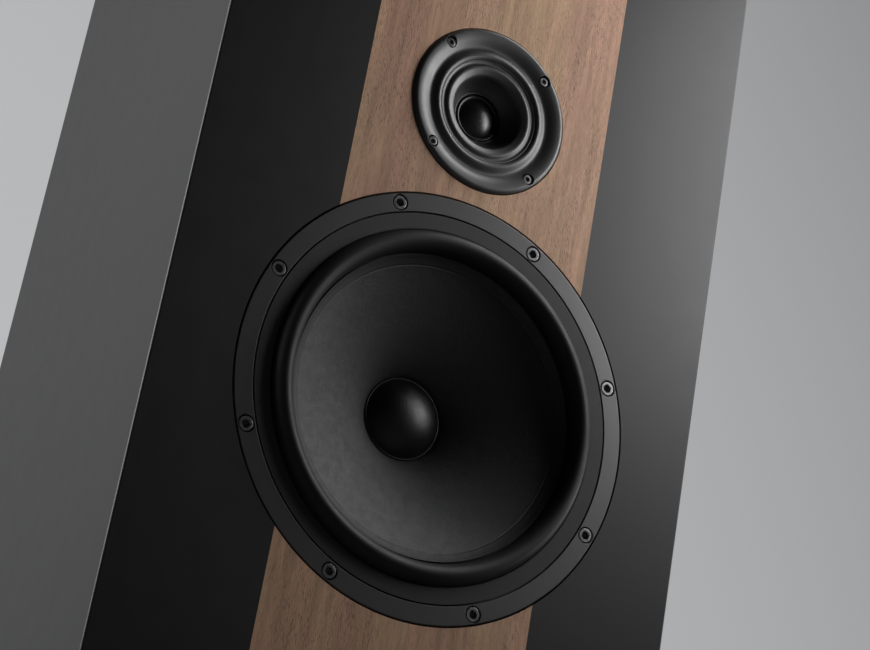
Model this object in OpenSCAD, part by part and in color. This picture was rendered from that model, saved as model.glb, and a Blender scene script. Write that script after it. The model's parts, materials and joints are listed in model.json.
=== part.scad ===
// Large two-way bookshelf speaker: an 11 inch woofer and a 28 mm dome tweeter
// in a rear-vented cabinet with a walnut strip down the middle of its baffle.
// Frame: +Z up, -Y is the listening side, origin under the centre of the box
// that holds the whole speaker, on the surface it stands on. Millimetres.

/* [Cabinet] */
// Outer width
cab_w = 392; // [380:1:420]
// Outer height with the feet
cab_h = 640; // [630:1:700]
// Depth from the baffle's front face to the rear panel's outer face
cab_d = 330; // [300:1:380]
// Thickness of the side, top, bottom and rear panels
wall_t = 19; // [16:1:22]
// Thickness of the front baffle
baffle_t = 25; // [22:1:30]
// Height of the rubber feet
foot_h = 12; // [8:1:16]
// Width of the walnut strip
strip_w = 187; // [170:1:200]
// Thickness of the walnut strip
strip_t = 3; // [2:0.5:4]

/* [Drivers] */
// Height of the woofer's centre
woofer_z = 240; // [236:1:250]
// Height of the tweeter's centre above the woofer's
tweeter_up = 213.2; // [210:0.1:230]
// Radius of the woofer's flange
woofer_r = 142; // [140:1:144]
// Radius of the tweeter's faceplate
tweeter_r = 59; // [58:0.5:60]
// How far the woofer's surround stands in front of the baffle
proud = 8; // [6:0.5:9]
// Radius of the woofer's voice coil former
coil_r = 25; // [24.8:0.1:25.1]
// Radius of the tweeter's dome
dome_r = 13.9; // [13.8:0.1:14]

/* [Rear] */
// Height of the reflex port's centre
port_z = 500; // [490:1:520]
// Inner radius of the reflex port
port_r = 35; // [30:1:36]
// Length of the reflex port
port_len = 140; // [110:5:150]
// Height of the terminal cup's centre
cup_z = 120; // [115:1:130]
// Distance between the two binding posts
post_gap = 38; // [36:1:40]

/* [Hidden] */
$fn = 96;

// Places worked out from the driving sizes
front_y = proud - (cab_d + proud) / 2;
rear_y = (cab_d + proud) / 2;
in_x = cab_w / 2 - wall_t;
in_front = front_y + baffle_t;
in_rear = rear_y - wall_t;
floor_z = foot_h + wall_t;
ceiling_z = cab_h - wall_t;
tweeter_z = woofer_z + tweeter_up;
past = 1;          // how far a cutter runs past the face it opens
glue = 0.1;        // gap left for glue at round fits inside one body
free = 0.3;        // gap left between a deforming part and the moving one

// Woofer: r is the distance from its axis and d the depth behind the baffle's front face
w_recess_r = woofer_r + 1;
w_recess_d = 10;
w_hole_r = 120;
w_flange_t = 9;
w_seal_t = w_recess_d - w_flange_t;
w_groove_r = woofer_r - 12.6;   // outer edge of the groove round the gasket ring
w_seat_d = 3.6;
w_bolt_r = 135.6;
w_bolts = 8;
w_bolt_turn = 22.5;
w_head_r = 5;
w_head_h = 6;
w_head_d = 0.4;
w_bore_r = 5.5;
roll_in = 102.4;
roll_out = 117;
roll_mid = (roll_in + roll_out) / 2;
roll_half = (roll_out - roll_in) / 2;
roll_base = 3;
rubber_t = 0.9;
lip_r = 95;        // how far in the surround's lip is glued behind the cone
cone_knots = [[101, 3.1], [94.5, 8.6], [75, 18.4], [55, 28.2], [40, 36.6], [31, 43.2], [27.4, 47.6]];
cone_t = 1.1;
neck_d = 54;
cap_r = 26.7;
cap_d = 45.9;
cap_h = 12;
w_ledge_d = 62;    // where the spider's edge is glued to the frame
w_plate_d = 80;
w_plate_t = 8;
w_magnet_t = 20;
w_back_t = 10;
w_magnet_d = w_plate_d + w_plate_t;
w_back_d = w_magnet_d + w_magnet_t;
w_spokes = 8;
w_spoke_w = 14;

// Tweeter
t_recess_r = tweeter_r + 0.5;
t_recess_d = 6;
t_hole_r = 40;
t_seal_t = 1;
t_bolt_r = 53.1;
t_bolts = 4;
t_head_r = 3.5;
t_head_h = 4;
t_head_d = -0.9;
t_bore_r = 4.15;
throat_r = 17.2;
throat_d = 15.5;
face_back = 16.2;
t_ring_d = 16.5;
t_plate_d = 19.2;
t_plate_t = 3.5;
t_magnet_d = t_plate_d + t_plate_t;
t_back_d = t_magnet_d + 10;
t_back_t = 5;
t_chamber_d = t_back_d + t_back_t;
t_chamber_l = 18;

// Rear fittings
cup_w = 95;
cup_h = 65;
cup_deep = 38;
cup_wall = 2.5;
rear_flange_t = 3;
flange_w = 124;
flange_h = 94;
post_r = 4;
post_x = post_gap / 2;
banana_r = 2;
knob_r = 8.5;
knob_l = 21;
washer_t = 1.5;
flare_r = port_r + 12;
port_flange_r = flare_r + 10;
port_wall = 2.5;

// Crossover board, lying on the bottom panel behind the woofer
board = [170, 110, 2];
board_y = 45;
board_z = floor_z + 6;
board_top = board_z + board[2];

// ---------- helpers ----------

// Points on part of an ellipse, from angle a0 to a1 in n steps
function arc(c, rx, ry, a0, a1, n = 16) =
  [for (i = [0:n]) let (a = a0 + (a1 - a0) * i / n) [c[0] + rx * cos(a), c[1] + ry * sin(a)]];

// One point of a smooth curve between b and c, with neighbours a and d
function between(a, b, c, d, t) =
  0.5 * (2 * b + (c - a) * t + (2 * a - 5 * b + 4 * c - d) * t * t + (3 * b - a - 3 * c + d) * t * t * t);

// A smooth curve through the points p, with n steps in each stretch
function smooth(p, n = 6) = concat(
  [for (i = [0:len(p) - 2]) for (k = [0:n - 1])
    between(p[max(i - 1, 0)], p[i], p[i + 1], p[min(i + 2, len(p) - 1)], k / n)],
  [p[len(p) - 1]]);

function flip(p) = [for (i = [len(p) - 1:-1:0]) p[i]];
function shift(p, v) = [for (q = p) q + v];

// Turns a piece drawn with its depth along +Z to face forwards in the baffle
module at_woofer() translate([0, front_y, woofer_z]) rotate([-90, 0, 0]) children();
module at_tweeter() translate([0, front_y, tweeter_z]) rotate([-90, 0, 0]) children();
// Turns a piece drawn with its depth along +Z to face backwards in the rear panel
module at_rear(x, z) translate([x, rear_y, z]) rotate([90, 0, 0]) children();

module ring(r_in, r_out, d, t) translate([0, 0, d]) difference() {
  cylinder(r = r_out, h = t);
  translate([0, 0, -past]) cylinder(r = r_in, h = t + 2 * past);
}
module turned(points) rotate_extrude() polygon(points);
module round_about(n, turn, r) for (i = [0:n - 1]) rotate(turn + 360 / n * i) translate([r, 0, 0]) children();

// A box given by two opposite corners
module span(a, b) translate(a) cube(b - a);

// Socket head screw along +Z: its head's top at d
module socket_screw(head_r, head_h, shank_r, length, hex, d) translate([0, 0, d]) difference() {
  union() {
    cylinder(r = head_r, h = head_h);
    cylinder(r = shank_r, h = length);
  }
  translate([0, 0, -past]) cylinder(d = hex / cos(30), h = head_h / 2 + past, $fn = 6);
}

// A round wire or tube along a smooth route; side is any direction that the route never takes
module wire(route, r, side, sides = 8, steps = 5) {
  p = smooth(route, steps);
  last = len(p) - 1;
  points = [for (i = [0:last])
    let (t = p[min(i + 1, last)] - p[max(i - 1, 0)],
      u = cross(t, side) / norm(cross(t, side)),
      v = cross(t / norm(t), u))
    for (k = [0:sides - 1]) p[i] + r * (cos(360 * k / sides) * u + sin(360 * k / sides) * v)];
  walls = [for (i = [0:last - 1]) for (k = [0:sides - 1])
    let (n = (k + 1) % sides)
    [i * sides + k, (i + 1) * sides + k, (i + 1) * sides + n, i * sides + n]];
  ends = [[for (k = [0:sides - 1]) k], [for (k = [sides - 1:-1:0]) last * sides + k]];
  polyhedron(points, concat(walls, ends));
}

// ---------- cabinet ----------

// What the drivers need cut out of the baffle and of the strip on its face
module driver_recesses() {
  at_woofer() translate([0, 0, -past]) cylinder(r = w_recess_r, h = w_recess_d + past);
  at_tweeter() translate([0, 0, -past]) cylinder(r = t_recess_r, h = t_recess_d + past);
}

module front_baffle() color("#26272a") difference() {
  span([-cab_w / 2, front_y, foot_h], [cab_w / 2, in_front, cab_h]);
  span([-strip_w / 2, front_y - past, foot_h - past], [strip_w / 2, front_y + strip_t, cab_h + past]);
  driver_recesses();
  at_woofer() cylinder(r = w_hole_r, h = baffle_t + past);
  at_tweeter() cylinder(r = t_hole_r, h = baffle_t + past);
  at_woofer() round_about(w_bolts, w_bolt_turn, w_bolt_r) cylinder(r = 3.05, h = 24.4);
  at_tweeter() round_about(t_bolts, 45, t_bolt_r) cylinder(r = 2.05, h = 22.5);
}

module strip_piece(low, high) color("#8a6f5c") difference() {
  span([-strip_w / 2, front_y, low], [strip_w / 2, front_y + strip_t, high]);
  driver_recesses();
}
module upper_walnut_panel() strip_piece(woofer_z + w_recess_r / 2, cab_h);
module lower_walnut_panel() strip_piece(foot_h, woofer_z - w_recess_r / 2);

module side_panel(x) color("#232427")
  span([x, in_front, foot_h], [x + wall_t, rear_y, cab_h]);
module left_side_panel() side_panel(-cab_w / 2);
module right_side_panel() side_panel(in_x);

module top_panel() color("#232427") span([-in_x, in_front, ceiling_z], [in_x, rear_y, cab_h]);

foot_x = cab_w / 2 - 40;
foot_front = front_y + 42;
foot_back = rear_y - 40;
module at_feet() for (x = [-foot_x, foot_x], y = [foot_front, foot_back]) translate([x, y, 0]) children();

module bottom_panel() color("#232427") difference() {
  span([-in_x, in_front, foot_h], [in_x, rear_y, floor_z]);
  at_feet() translate([0, 0, foot_h - past]) cylinder(r = 2.05, h = 14);
  at_standoffs() translate([0, 0, floor_z - 10]) cylinder(r = 1.55, h = 10 + past);
}

module rear_panel() color("#232427") difference() {
  span([-in_x, in_rear, floor_z], [in_x, rear_y, ceiling_z]);
  at_rear(0, port_z) {
    translate([0, 0, -past]) cylinder(r = port_flange_r + 0.3, h = rear_flange_t + past);
    cylinder(r = flare_r + 1, h = wall_t + past);
    round_about(4, 45, port_flange_r - 5) cylinder(r = 1.55, h = 16);
  }
  at_rear(0, cup_z) {
    span([-flange_w / 2 - 0.3, -flange_h / 2 - 0.3, -past], [flange_w / 2 + 0.3, flange_h / 2 + 0.3, rear_flange_t]);
    span([-cup_w / 2 - 3, -cup_h / 2 - 3, 0], [cup_w / 2 + 3, cup_h / 2 + 3, wall_t + past]);
    at_cup_corners() cylinder(r = 1.55, h = 16);
  }
}

// Shelf brace between the two drivers, with two windows for air and wires
brace_z = 375;
brace_t = 18;
module window_brace() color("#b59b78") difference() {
  span([-in_x, in_front, brace_z], [in_x, in_rear, brace_z + brace_t]);
  for (s = [-1, 1]) translate([s * in_x / 2, (in_front + in_rear) / 2, brace_z - past])
    linear_extrude(brace_t + 2 * past) union() {
      square([in_x - 50, 160], center = true);
      square([in_x - 90, 200], center = true);
      for (x = [-1, 1], y = [-1, 1]) translate([x * (in_x / 2 - 45), y * 80]) circle(r = 20);
    }
}

// Four mats of polyester wadding on the side walls
mat_t = 20;
module damping_wadding() color("#d9d6cc") for (s = [-1, 1])
  for (z = [[floor_z + 45, brace_z - 10], [brace_z + brace_t + 10, ceiling_z - 10]])
    translate([s * (in_x - mat_t / 2 - 0.5), 0, 0])
      span([-mat_t / 2, in_front + 40, z[0]], [mat_t / 2, in_rear - 15, z[1]]);

module rubber_feet() color("#161616") at_feet() difference() {
  turned([[0, 0], [18, 0], [19, 1.2], [20, foot_h], [0, foot_h]]);
  translate([0, 0, -past]) cylinder(r = 6, h = 5 + past);
  cylinder(r = 2.3, h = foot_h + past);
}
module foot_screws() color("#8d8f92") at_feet() translate([0, 0, 2]) {
  cylinder(r = 4.5, h = 3);
  cylinder(r = 2, h = 20);
}

// ---------- reflex port ----------

module reflex_port_flare() color("#1b1b1c") at_rear(0, port_z) difference() {
  turned(concat(
    [[port_flange_r, 0], [port_flange_r, rear_flange_t], [flare_r, rear_flange_t]],
    [[port_r + port_wall, 14], [port_r + port_wall, 30], [port_r, 30]],
    arc([port_r + 12, 14], 12, 14, 180, 270, 10)));
  round_about(4, 45, port_flange_r - 5) translate([0, 0, -past]) cylinder(r = 1.8, h = 6);
  round_about(4, 45, port_flange_r - 5) translate([0, 0, -past]) cylinder(r = 3.2, h = past + 1.8);
}
module reflex_port_tube() color("#202021") at_rear(0, port_z) turned(concat(
  [[port_r, 30 + glue], [port_r + port_wall, 30 + glue], [port_r + port_wall, port_len - 12]],
  arc([port_r + 10, port_len - 12], 7.5, 9.5, 180, 90, 8),
  arc([port_r + 10, port_len - 12], 10, 12, 90, 180, 8)));
module port_screws() color("#3a3a3c") at_rear(0, port_z)
  round_about(4, 45, port_flange_r - 5) translate([0, 0, 0.3]) {
    cylinder(r = 3, h = 1.4);
    cylinder(r = 1.5, h = 14);
  }

// ---------- terminal cup and binding posts ----------

module at_cup_corners() for (x = [-1, 1], y = [-1, 1])
  translate([x * (flange_w / 2 - 7), y * (flange_h / 2 - 7), 0]) children();

module terminal_cup() color("#1a1a1b") at_rear(0, cup_z) difference() {
  union() {
    span([-flange_w / 2, -flange_h / 2, 0], [flange_w / 2, flange_h / 2, rear_flange_t]);
    span([-cup_w / 2 - cup_wall, -cup_h / 2 - cup_wall, 0], [cup_w / 2 + cup_wall, cup_h / 2 + cup_wall, cup_deep]);
  }
  span([-cup_w / 2, -cup_h / 2, -past], [cup_w / 2, cup_h / 2, cup_deep - 3]);
  at_cup_corners() translate([0, 0, -past]) cylinder(r = 1.8, h = 6);
  at_cup_corners() translate([0, 0, -past]) cylinder(r = 3.2, h = past + 1.8);
  for (s = [-1, 1]) translate([s * post_x, 0, 0]) cylinder(r = post_r + 0.05, h = cup_deep + past);
}
module terminal_cup_screws() color("#3a3a3c") at_rear(0, cup_z) at_cup_corners()
  translate([0, 0, 0.3]) {
    cylinder(r = 3, h = 1.4);
    cylinder(r = 1.5, h = 14);
  }

// Binding post: a threaded stem with a socket in its end and a seat on the cup's floor
post_floor = cup_deep - 3;
seat_t = 2.5;
stem_top = 6;
stem_end = cup_deep + 12;
module post_stem(x) color("#c9a548") at_rear(x, cup_z) difference() {
  union() {
    translate([0, 0, stem_top]) cylinder(r = post_r, h = stem_end - stem_top);
    translate([0, 0, post_floor - seat_t]) cylinder(r = 7, h = seat_t);
  }
  translate([0, 0, stem_top - past]) cylinder(r = banana_r, h = 20 + past);
}
module red_post_stem() post_stem(-post_x);
module black_post_stem() post_stem(post_x);

module post_nuts() color("#c9a548") for (s = [-1, 1]) at_rear(s * post_x, cup_z) {
  difference() {
    translate([0, 0, cup_deep]) cylinder(r = 7, h = 4, $fn = 6);
    translate([0, 0, cup_deep - past]) cylinder(r = post_r + 0.05, h = 6);
  }
  translate([0, 0, cup_deep + 4]) difference() {
    union() {
      cylinder(r = 6, h = 0.8);
      span([-3, -16, 0], [3, 0, 0.8]);
    }
    translate([0, 0, -past]) cylinder(r = post_r + 0.05, h = 3);
  }
}

washer_d = post_floor - seat_t - washer_t - 0.05;
module post_washer(x) color("#c9a548") at_rear(x, cup_z) ring(post_r + 0.06, 6.8, washer_d, washer_t);
module red_post_washer() post_washer(-post_x);
module black_post_washer() post_washer(post_x);

knob_d = washer_d - 0.35 - knob_l;
module post_knob(x, tint) color(tint) at_rear(x, cup_z) translate([0, 0, knob_d]) difference() {
  turned([[post_r + 0.06, 0.8], [post_r + 1.4, 0], [knob_r - 0.8, 0], [knob_r, 0.8], [knob_r, knob_l - 4],
    [knob_r - 1.5, knob_l - 3], [knob_r - 1.5, knob_l], [post_r + 0.06, knob_l]]);
  round_about(12, 0, knob_r + 0.7) translate([0, 0, -past]) cylinder(r = 1.5, h = knob_l - 5 + past);
}
module red_post_knob() post_knob(-post_x, "#a31d1d");
module black_post_knob() post_knob(post_x, "#151515");

// ---------- crossover ----------

module at_standoffs() for (x = [-1, 1], y = [-1, 1])
  translate([x * (board[0] / 2 - 8), board_y + y * (board[1] / 2 - 8), 0]) children();

module crossover_board() color("#2f5d3a") difference() {
  translate([-board[0] / 2, board_y - board[1] / 2, board_z]) cube(board);
  at_standoffs() translate([0, 0, board_z - past]) cylinder(r = 1.6, h = board[2] + 2 * past);
}
module crossover_standoffs() color("#dddddd") at_standoffs() {
  difference() {
    translate([0, 0, floor_z]) cylinder(r = 4, h = board_z - floor_z);
    translate([0, 0, floor_z - past]) cylinder(r = 1.6, h = 20);
  }
  translate([0, 0, board_top]) cylinder(r = 3, h = 1.8);
  translate([0, 0, floor_z - 8]) cylinder(r = 1.5, h = board_top - floor_z + 9);
}
module crossover_coils() color("#b3672e") {
  translate([-48, board_y + 20, 0]) ring(12, 27, board_top, 24);
  translate([-48, board_y - 37, 0]) ring(7, 14, board_top, 14);
  translate([56, board_y + 30, 0]) ring(8, 17, board_top, 16);
}
module lying_can(x, y, r, l) translate([x - l / 2, board_y + y, board_top + r]) rotate([0, 90, 0]) cylinder(r = r, h = l);
module crossover_capacitors() color("#3c5aa0") {
  lying_can(12, -34, 13, 52);
  lying_can(8, -6, 10, 40);
  lying_can(10, 16, 8, 34);
}
module crossover_resistors() color("#e8e4da") for (y = [-37, -22, -7])
  translate([48, board_y + y - 4.5, board_top]) cube([30, 9, 9]);

// Routes of the wires inside the cabinet: rounded points chosen by hand
wire_r = 1.6;
in_run = [[19, 124.5, 107], [19, 124, 97], [24, 120, 70], [30, 110, 48], [34, 98, 43]];
woofer_run = [[44, -9, 42], [48, -22, 52], [40, -50, 90], [20, -86, 118]];
tweeter_run = [[-78, 10, 42], [-96, 2, 60], [-120, 10, 160], [-122, 14, 300], [-112, 10, 400],
  [-70, -40, 424], [-24, -108, 424]];
module input_wires() color("#b33a2c") for (s = [-1, 1])
  wire([for (p = in_run) [s * p[0], p[1], p[2]]], wire_r, [1, s * 0.2, 0]);
module woofer_wires() color("#b33a2c") for (s = [-1, 1])
  wire(concat(shift(woofer_run, [s * 3, 0, 0]), [[s * 7 + 2, -112, 127], [s * 7, -119.5, 131]]), wire_r, [1, 0, 0]);
module tweeter_wires() color("#b33a2c") for (s = [-1, 1])
  wire(concat(shift(tweeter_run, [0, s * 2.4, 0]), [[s * 8, -124.3, 414]]), wire_r, [0.2, 1, 0.1]);

// ---------- woofer ----------

module woofer_frame() color("#3a3c3f") at_woofer() difference() {
  turned([[woofer_r - 0.8, 0], [woofer_r, 0.8], [woofer_r, w_flange_t], [119, w_flange_t], [119, 12], [74, w_ledge_d],
    [74, w_plate_d], [46, w_plate_d], [46, w_plate_d - 5], [61, w_plate_d - 5], [61, w_ledge_d], [69, w_ledge_d],
    [113, 12.5], [117.5, 7.5], [117.5, w_seat_d], [w_groove_r, w_seat_d], [w_groove_r, 0]]);
  translate([0, 0, 15]) linear_extrude(44) difference() {
    circle(r = 130);
    for (i = [0:w_spokes - 1]) rotate(w_bolt_turn + 45 * i) translate([0, -w_spoke_w / 2]) square([135, w_spoke_w]);
    circle(r = 40);
  }
  round_about(w_bolts, w_bolt_turn, w_bolt_r) {
    translate([0, 0, -past]) cylinder(r = w_bore_r, h = w_head_d + w_head_h + past);
    cylinder(r = 3.3, h = w_flange_t + past);
  }
}

module woofer_gasket_ring() color("#1c1c1d") at_woofer() turned([[roll_out + glue, 0.4], [roll_out + 0.5, 0],
  [w_groove_r - 1.3, 0], [w_groove_r - 1, 0.3], [w_groove_r - 1, roll_base], [roll_out + glue, roll_base]]);

module woofer_seal() color("#101010") at_woofer() difference() {
  ring(w_hole_r + 1, woofer_r - 0.2, w_flange_t, w_seal_t);
  round_about(w_bolts, w_bolt_turn, w_bolt_r) cylinder(r = 3.4, h = w_recess_d + past);
}

// The cone's front outline from its rim inwards, and the lip glued behind its rim
cone_front = smooth(cone_knots, 5);
lip_front = [for (p = cone_front) if (p[0] >= lip_r) p + [0, cone_t + free]];
module woofer_surround() color("#151516") at_woofer() turned(concat(
  [[w_groove_r - 2.4, roll_base + 0.6], [w_groove_r - 2.4, roll_base], [roll_out, roll_base]],
  arc([roll_mid, roll_base], roll_half, -(proud + roll_base), 0, 180, 24),
  [[roll_in, roll_base + 1.1]],
  lip_front,
  flip(shift(lip_front, [0, 0.8])),
  [[roll_in + rubber_t, roll_base + 2]],
  flip(arc([roll_mid, roll_base], roll_half - rubber_t, rubber_t - (proud + roll_base), 0, 180, 24)),
  [[roll_out - rubber_t, roll_base + 0.6]]));

module woofer_cone() color("#2a2a2b") at_woofer() turned(concat(
  cone_front,
  [[coil_r + glue, cone_knots[6][1] + 3], [coil_r + glue, neck_d], [coil_r + 1, neck_d], [coil_r + 1.2, neck_d - 2]],
  flip(shift([for (p = cone_front) if (p[0] > 28) p], [0, cone_t]))));

// Domed cap, glued to the cone by the edge
module woofer_dust_cap() color("#202021") at_woofer() {
  big = (cap_r * cap_r + cap_h * cap_h) / (2 * cap_h);
  reach = asin(cap_r / big);
  turned(concat(
    arc([0, cap_d - cap_h + big], big, big, -90, reach - 90, 14),
    [[cap_r + 0.5, cap_d + 0.4], [cap_r - 0.3, cap_d + 0.8]],
    flip(arc([0, cap_d - cap_h + big], big - 0.9, big - 0.9, -90, reach - 91.5, 14))));
}

module woofer_coil_former() color("#b9a878") at_woofer() ring(coil_r - 0.3, coil_r, 50, 42);
module woofer_voice_coil() color("#a85a2a") at_woofer() ring(coil_r + 0.02, coil_r + 1, 76, 16);

// Corrugated spider between the coil former and the frame's ledge
waves = 6;
spider_in = coil_r + free;
spider_out = 68;
function spider_line(d) = concat(
  [[spider_in, d], [spider_in + 3, d]],
  [for (i = [0:waves * 8]) let (t = i / (waves * 8)) [spider_in + 3 + t * 32, d - 1.4 * sin(360 * waves * t)]],
  [[spider_out, d]]);
module woofer_spider() color("#c9a24a") at_woofer()
  turned(concat(spider_line(w_ledge_d - 0.6), flip(spider_line(w_ledge_d - 0.02))));

// Two braided leads from the cone's neck to the tags on the frame
module woofer_tinsel_leads() color("#c98b5a") for (s = [-1, 1])
  wire([[s * 8, front_y + 52.4, woofer_z - 29], [s * 9, front_y + 55, woofer_z - 38], [s * 9, front_y + 53, woofer_z - 58],
    [s * 8, front_y + 44, woofer_z - 76], [s * 7, front_y + 41, woofer_z - 86]], 0.8, [1, 0, 0]);

// Tag strip across a window of the frame, with two brass tags
module woofer_terminals() color("#a08a50") {
  translate([-13, front_y + 36, woofer_z - 99]) cube([26, 3, 13]);
  for (s = [-1, 1]) translate([s * 7 - 2, front_y + 39, woofer_z - 112]) cube([4, 0.8, 26]);
}

module woofer_front_plate() color("#777a7d") at_woofer() ring(coil_r + 1.6, 66, w_plate_d, w_plate_t);
module woofer_magnet() color("#2c2c2f") at_woofer() turned([[36, w_magnet_d], [71, w_magnet_d], [72, w_magnet_d + 1],
  [72, w_back_d - 1], [71, w_back_d], [36, w_back_d]]);
module woofer_back_plate() color("#777a7d") at_woofer() turned([[10, w_plate_d - 2], [coil_r - 1.6, w_plate_d - 2],
  [coil_r - 0.8, w_plate_d - 1], [coil_r - 0.8, w_back_d], [66, w_back_d], [66, w_back_d + w_back_t - 2],
  [62, w_back_d + w_back_t], [13, w_back_d + w_back_t], [10, w_back_d + w_back_t - 4]]);

module woofer_screws() color("#5a5b5e") at_woofer() round_about(w_bolts, w_bolt_turn, w_bolt_r)
  socket_screw(w_head_r, w_head_h, 3, 23.4, 5, w_head_d);

// ---------- tweeter ----------

// Face outline from the rim inwards: a rounded rim, a ridge, the mouth's lip and the throat
face_knots = [[59, 0.3], [58.5, -0.9], [57.6, -1.85], [56.4, -2.3], [55, -2.3], [53, -2], [51, -1.4], [49, -0.55],
  [47.2, 0.3], [46, 0.7], [45, 0.8], [44.2, 0.65], [43.3, 0.3], [41.2, -0.75], [40.2, -1.15], [39.3, -1.25],
  [38.4, -1], [37.6, -0.5], [35.9, 0.6], [35.1, 1], [34.4, 1.1], [33.7, 0.95], [32.6, 0.4], [31.9, 0.15],
  [31.2, 0.05], [30.3, 0.2], [29.3, 0.6], [27.2, 1.6], [26.3, 2.3], [25.4, 3.7], [24, 6.6], [21.6, 10.5],
  [18.8, 13.8], [throat_r, throat_d]];
module tweeter_faceplate() color("#1d1d1f") at_tweeter() difference() {
  turned(concat(
    [[tweeter_r, t_recess_d - t_seal_t]],
    smooth(face_knots, 3),
    [[throat_r, face_back], [31, face_back], [36, t_recess_d - t_seal_t]]));
  round_about(t_bolts, 45, t_bolt_r) {
    translate([0, 0, -6]) cylinder(r = t_bore_r, h = 6 + t_head_d + t_head_h);
    cylinder(r = 2.2, h = 8);
  }
}

module tweeter_seal() color("#101010") at_tweeter() difference() {
  ring(t_hole_r + 1, tweeter_r - 0.5, t_recess_d - t_seal_t, t_seal_t);
  round_about(t_bolts, 45, t_bolt_r) cylinder(r = 2.3, h = 10);
}
module tweeter_screws() color("#6a6b6e") at_tweeter() round_about(t_bolts, 45, t_bolt_r)
  socket_screw(t_head_r, t_head_h, 2, 22, 3, t_head_d);

module tweeter_dome() color("#202022") at_tweeter() {
  rise = 4.4;
  big = (dome_r * dome_r + rise * rise) / (2 * rise);
  reach = asin(dome_r / big);
  turned(concat(
    arc([0, t_ring_d - rise + big], big, big, -90, reach - 90, 12),
    [[dome_r, t_ring_d + 1], [dome_r - 0.35, t_ring_d + 1]],
    flip(arc([0, t_ring_d - rise + big], big - 0.35, big - 0.35, -90, reach - 91, 12))));
}
module tweeter_surround() color("#2b2b2d") at_tweeter() {
  mid = dome_r + 0.4 + 1.3;
  turned(concat(
    [[19.4, t_ring_d - 0.02], [19.4, t_ring_d - 0.28], [mid + 1.3, t_ring_d - 0.28]],
    arc([mid, t_ring_d - 0.28], 1.3, -1.2, 0, 180, 10),
    flip(arc([mid, t_ring_d - 0.02], 1, -1.15, 0, 180, 10)),
    [[mid + 1.3, t_ring_d - 0.02]]));
}
module tweeter_voice_coil() color("#a85a2a") at_tweeter() {
  ring(dome_r + 0.02, dome_r + 0.2, t_ring_d + 0.4, 6.4);
  ring(dome_r + 0.22, dome_r + 0.6, t_plate_d - 0.2, 3.9);
}
module tweeter_mounting_ring() color("#2a2a2c") at_tweeter() ring(17.6, 30, t_ring_d, t_plate_d - t_ring_d);
module tweeter_front_plate() color("#777a7d") at_tweeter() ring(dome_r + 1, 36, t_plate_d, t_plate_t);
module tweeter_magnet() color("#2c2c2f") at_tweeter() ring(18, 36, t_magnet_d, t_back_d - t_magnet_d);
module tweeter_back_plate() color("#777a7d") at_tweeter() turned([[4, t_plate_d + 0.3], [dome_r - 0.6, t_plate_d + 0.3],
  [dome_r - 0.6, t_back_d], [34, t_back_d], [34, t_chamber_d], [4, t_chamber_d]]);
module tweeter_rear_chamber() color("#1b1b1c") at_tweeter() difference() {
  translate([0, 0, t_chamber_d]) cylinder(r = 30, h = t_chamber_l);
  translate([0, 0, t_chamber_d - past]) cylinder(r = 27.5, h = t_chamber_l - 2.5 + past);
}
module tweeter_terminals() color("#c9a548") for (s = [-1, 1])
  translate([s * 8 - 1.5, front_y + t_back_d + 1.5, tweeter_z - 44]) cube([3, 0.8, 10.1]);

// ---------- what each node shows ----------

front_baffle();
upper_walnut_panel();
lower_walnut_panel();
left_side_panel();
right_side_panel();
top_panel();
bottom_panel();
rear_panel();
window_brace();
damping_wadding();
rubber_feet();
foot_screws();
reflex_port_tube();
reflex_port_flare();
port_screws();
terminal_cup();
terminal_cup_screws();
red_post_stem();
black_post_stem();
post_nuts();
red_post_washer();
black_post_washer();
red_post_knob();
black_post_knob();
crossover_board();
crossover_coils();
crossover_capacitors();
crossover_resistors();
crossover_standoffs();
input_wires();
woofer_wires();
tweeter_wires();
woofer_frame();
woofer_gasket_ring();
woofer_seal();
woofer_surround();
woofer_cone();
woofer_dust_cap();
woofer_coil_former();
woofer_voice_coil();
woofer_spider();
woofer_tinsel_leads();
woofer_terminals();
woofer_front_plate();
woofer_magnet();
woofer_back_plate();
woofer_screws();
tweeter_faceplate();
tweeter_seal();
tweeter_screws();
tweeter_dome();
tweeter_surround();
tweeter_voice_coil();
tweeter_mounting_ring();
tweeter_front_plate();
tweeter_magnet();
tweeter_back_plate();
tweeter_rear_chamber();
tweeter_terminals();
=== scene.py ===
"""Looks of the bookshelf speaker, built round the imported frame: a dark cabinet with a walnut
strip, a wide woofer and a small dome tweeter. Outlines of turned pieces are in millimetres:
a radius from the driver's axis and a depth behind the baffle's front face."""
import json
import math
import random

import bmesh
import bpy
import numpy as np
from mathutils import Matrix, Vector, noise


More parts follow.
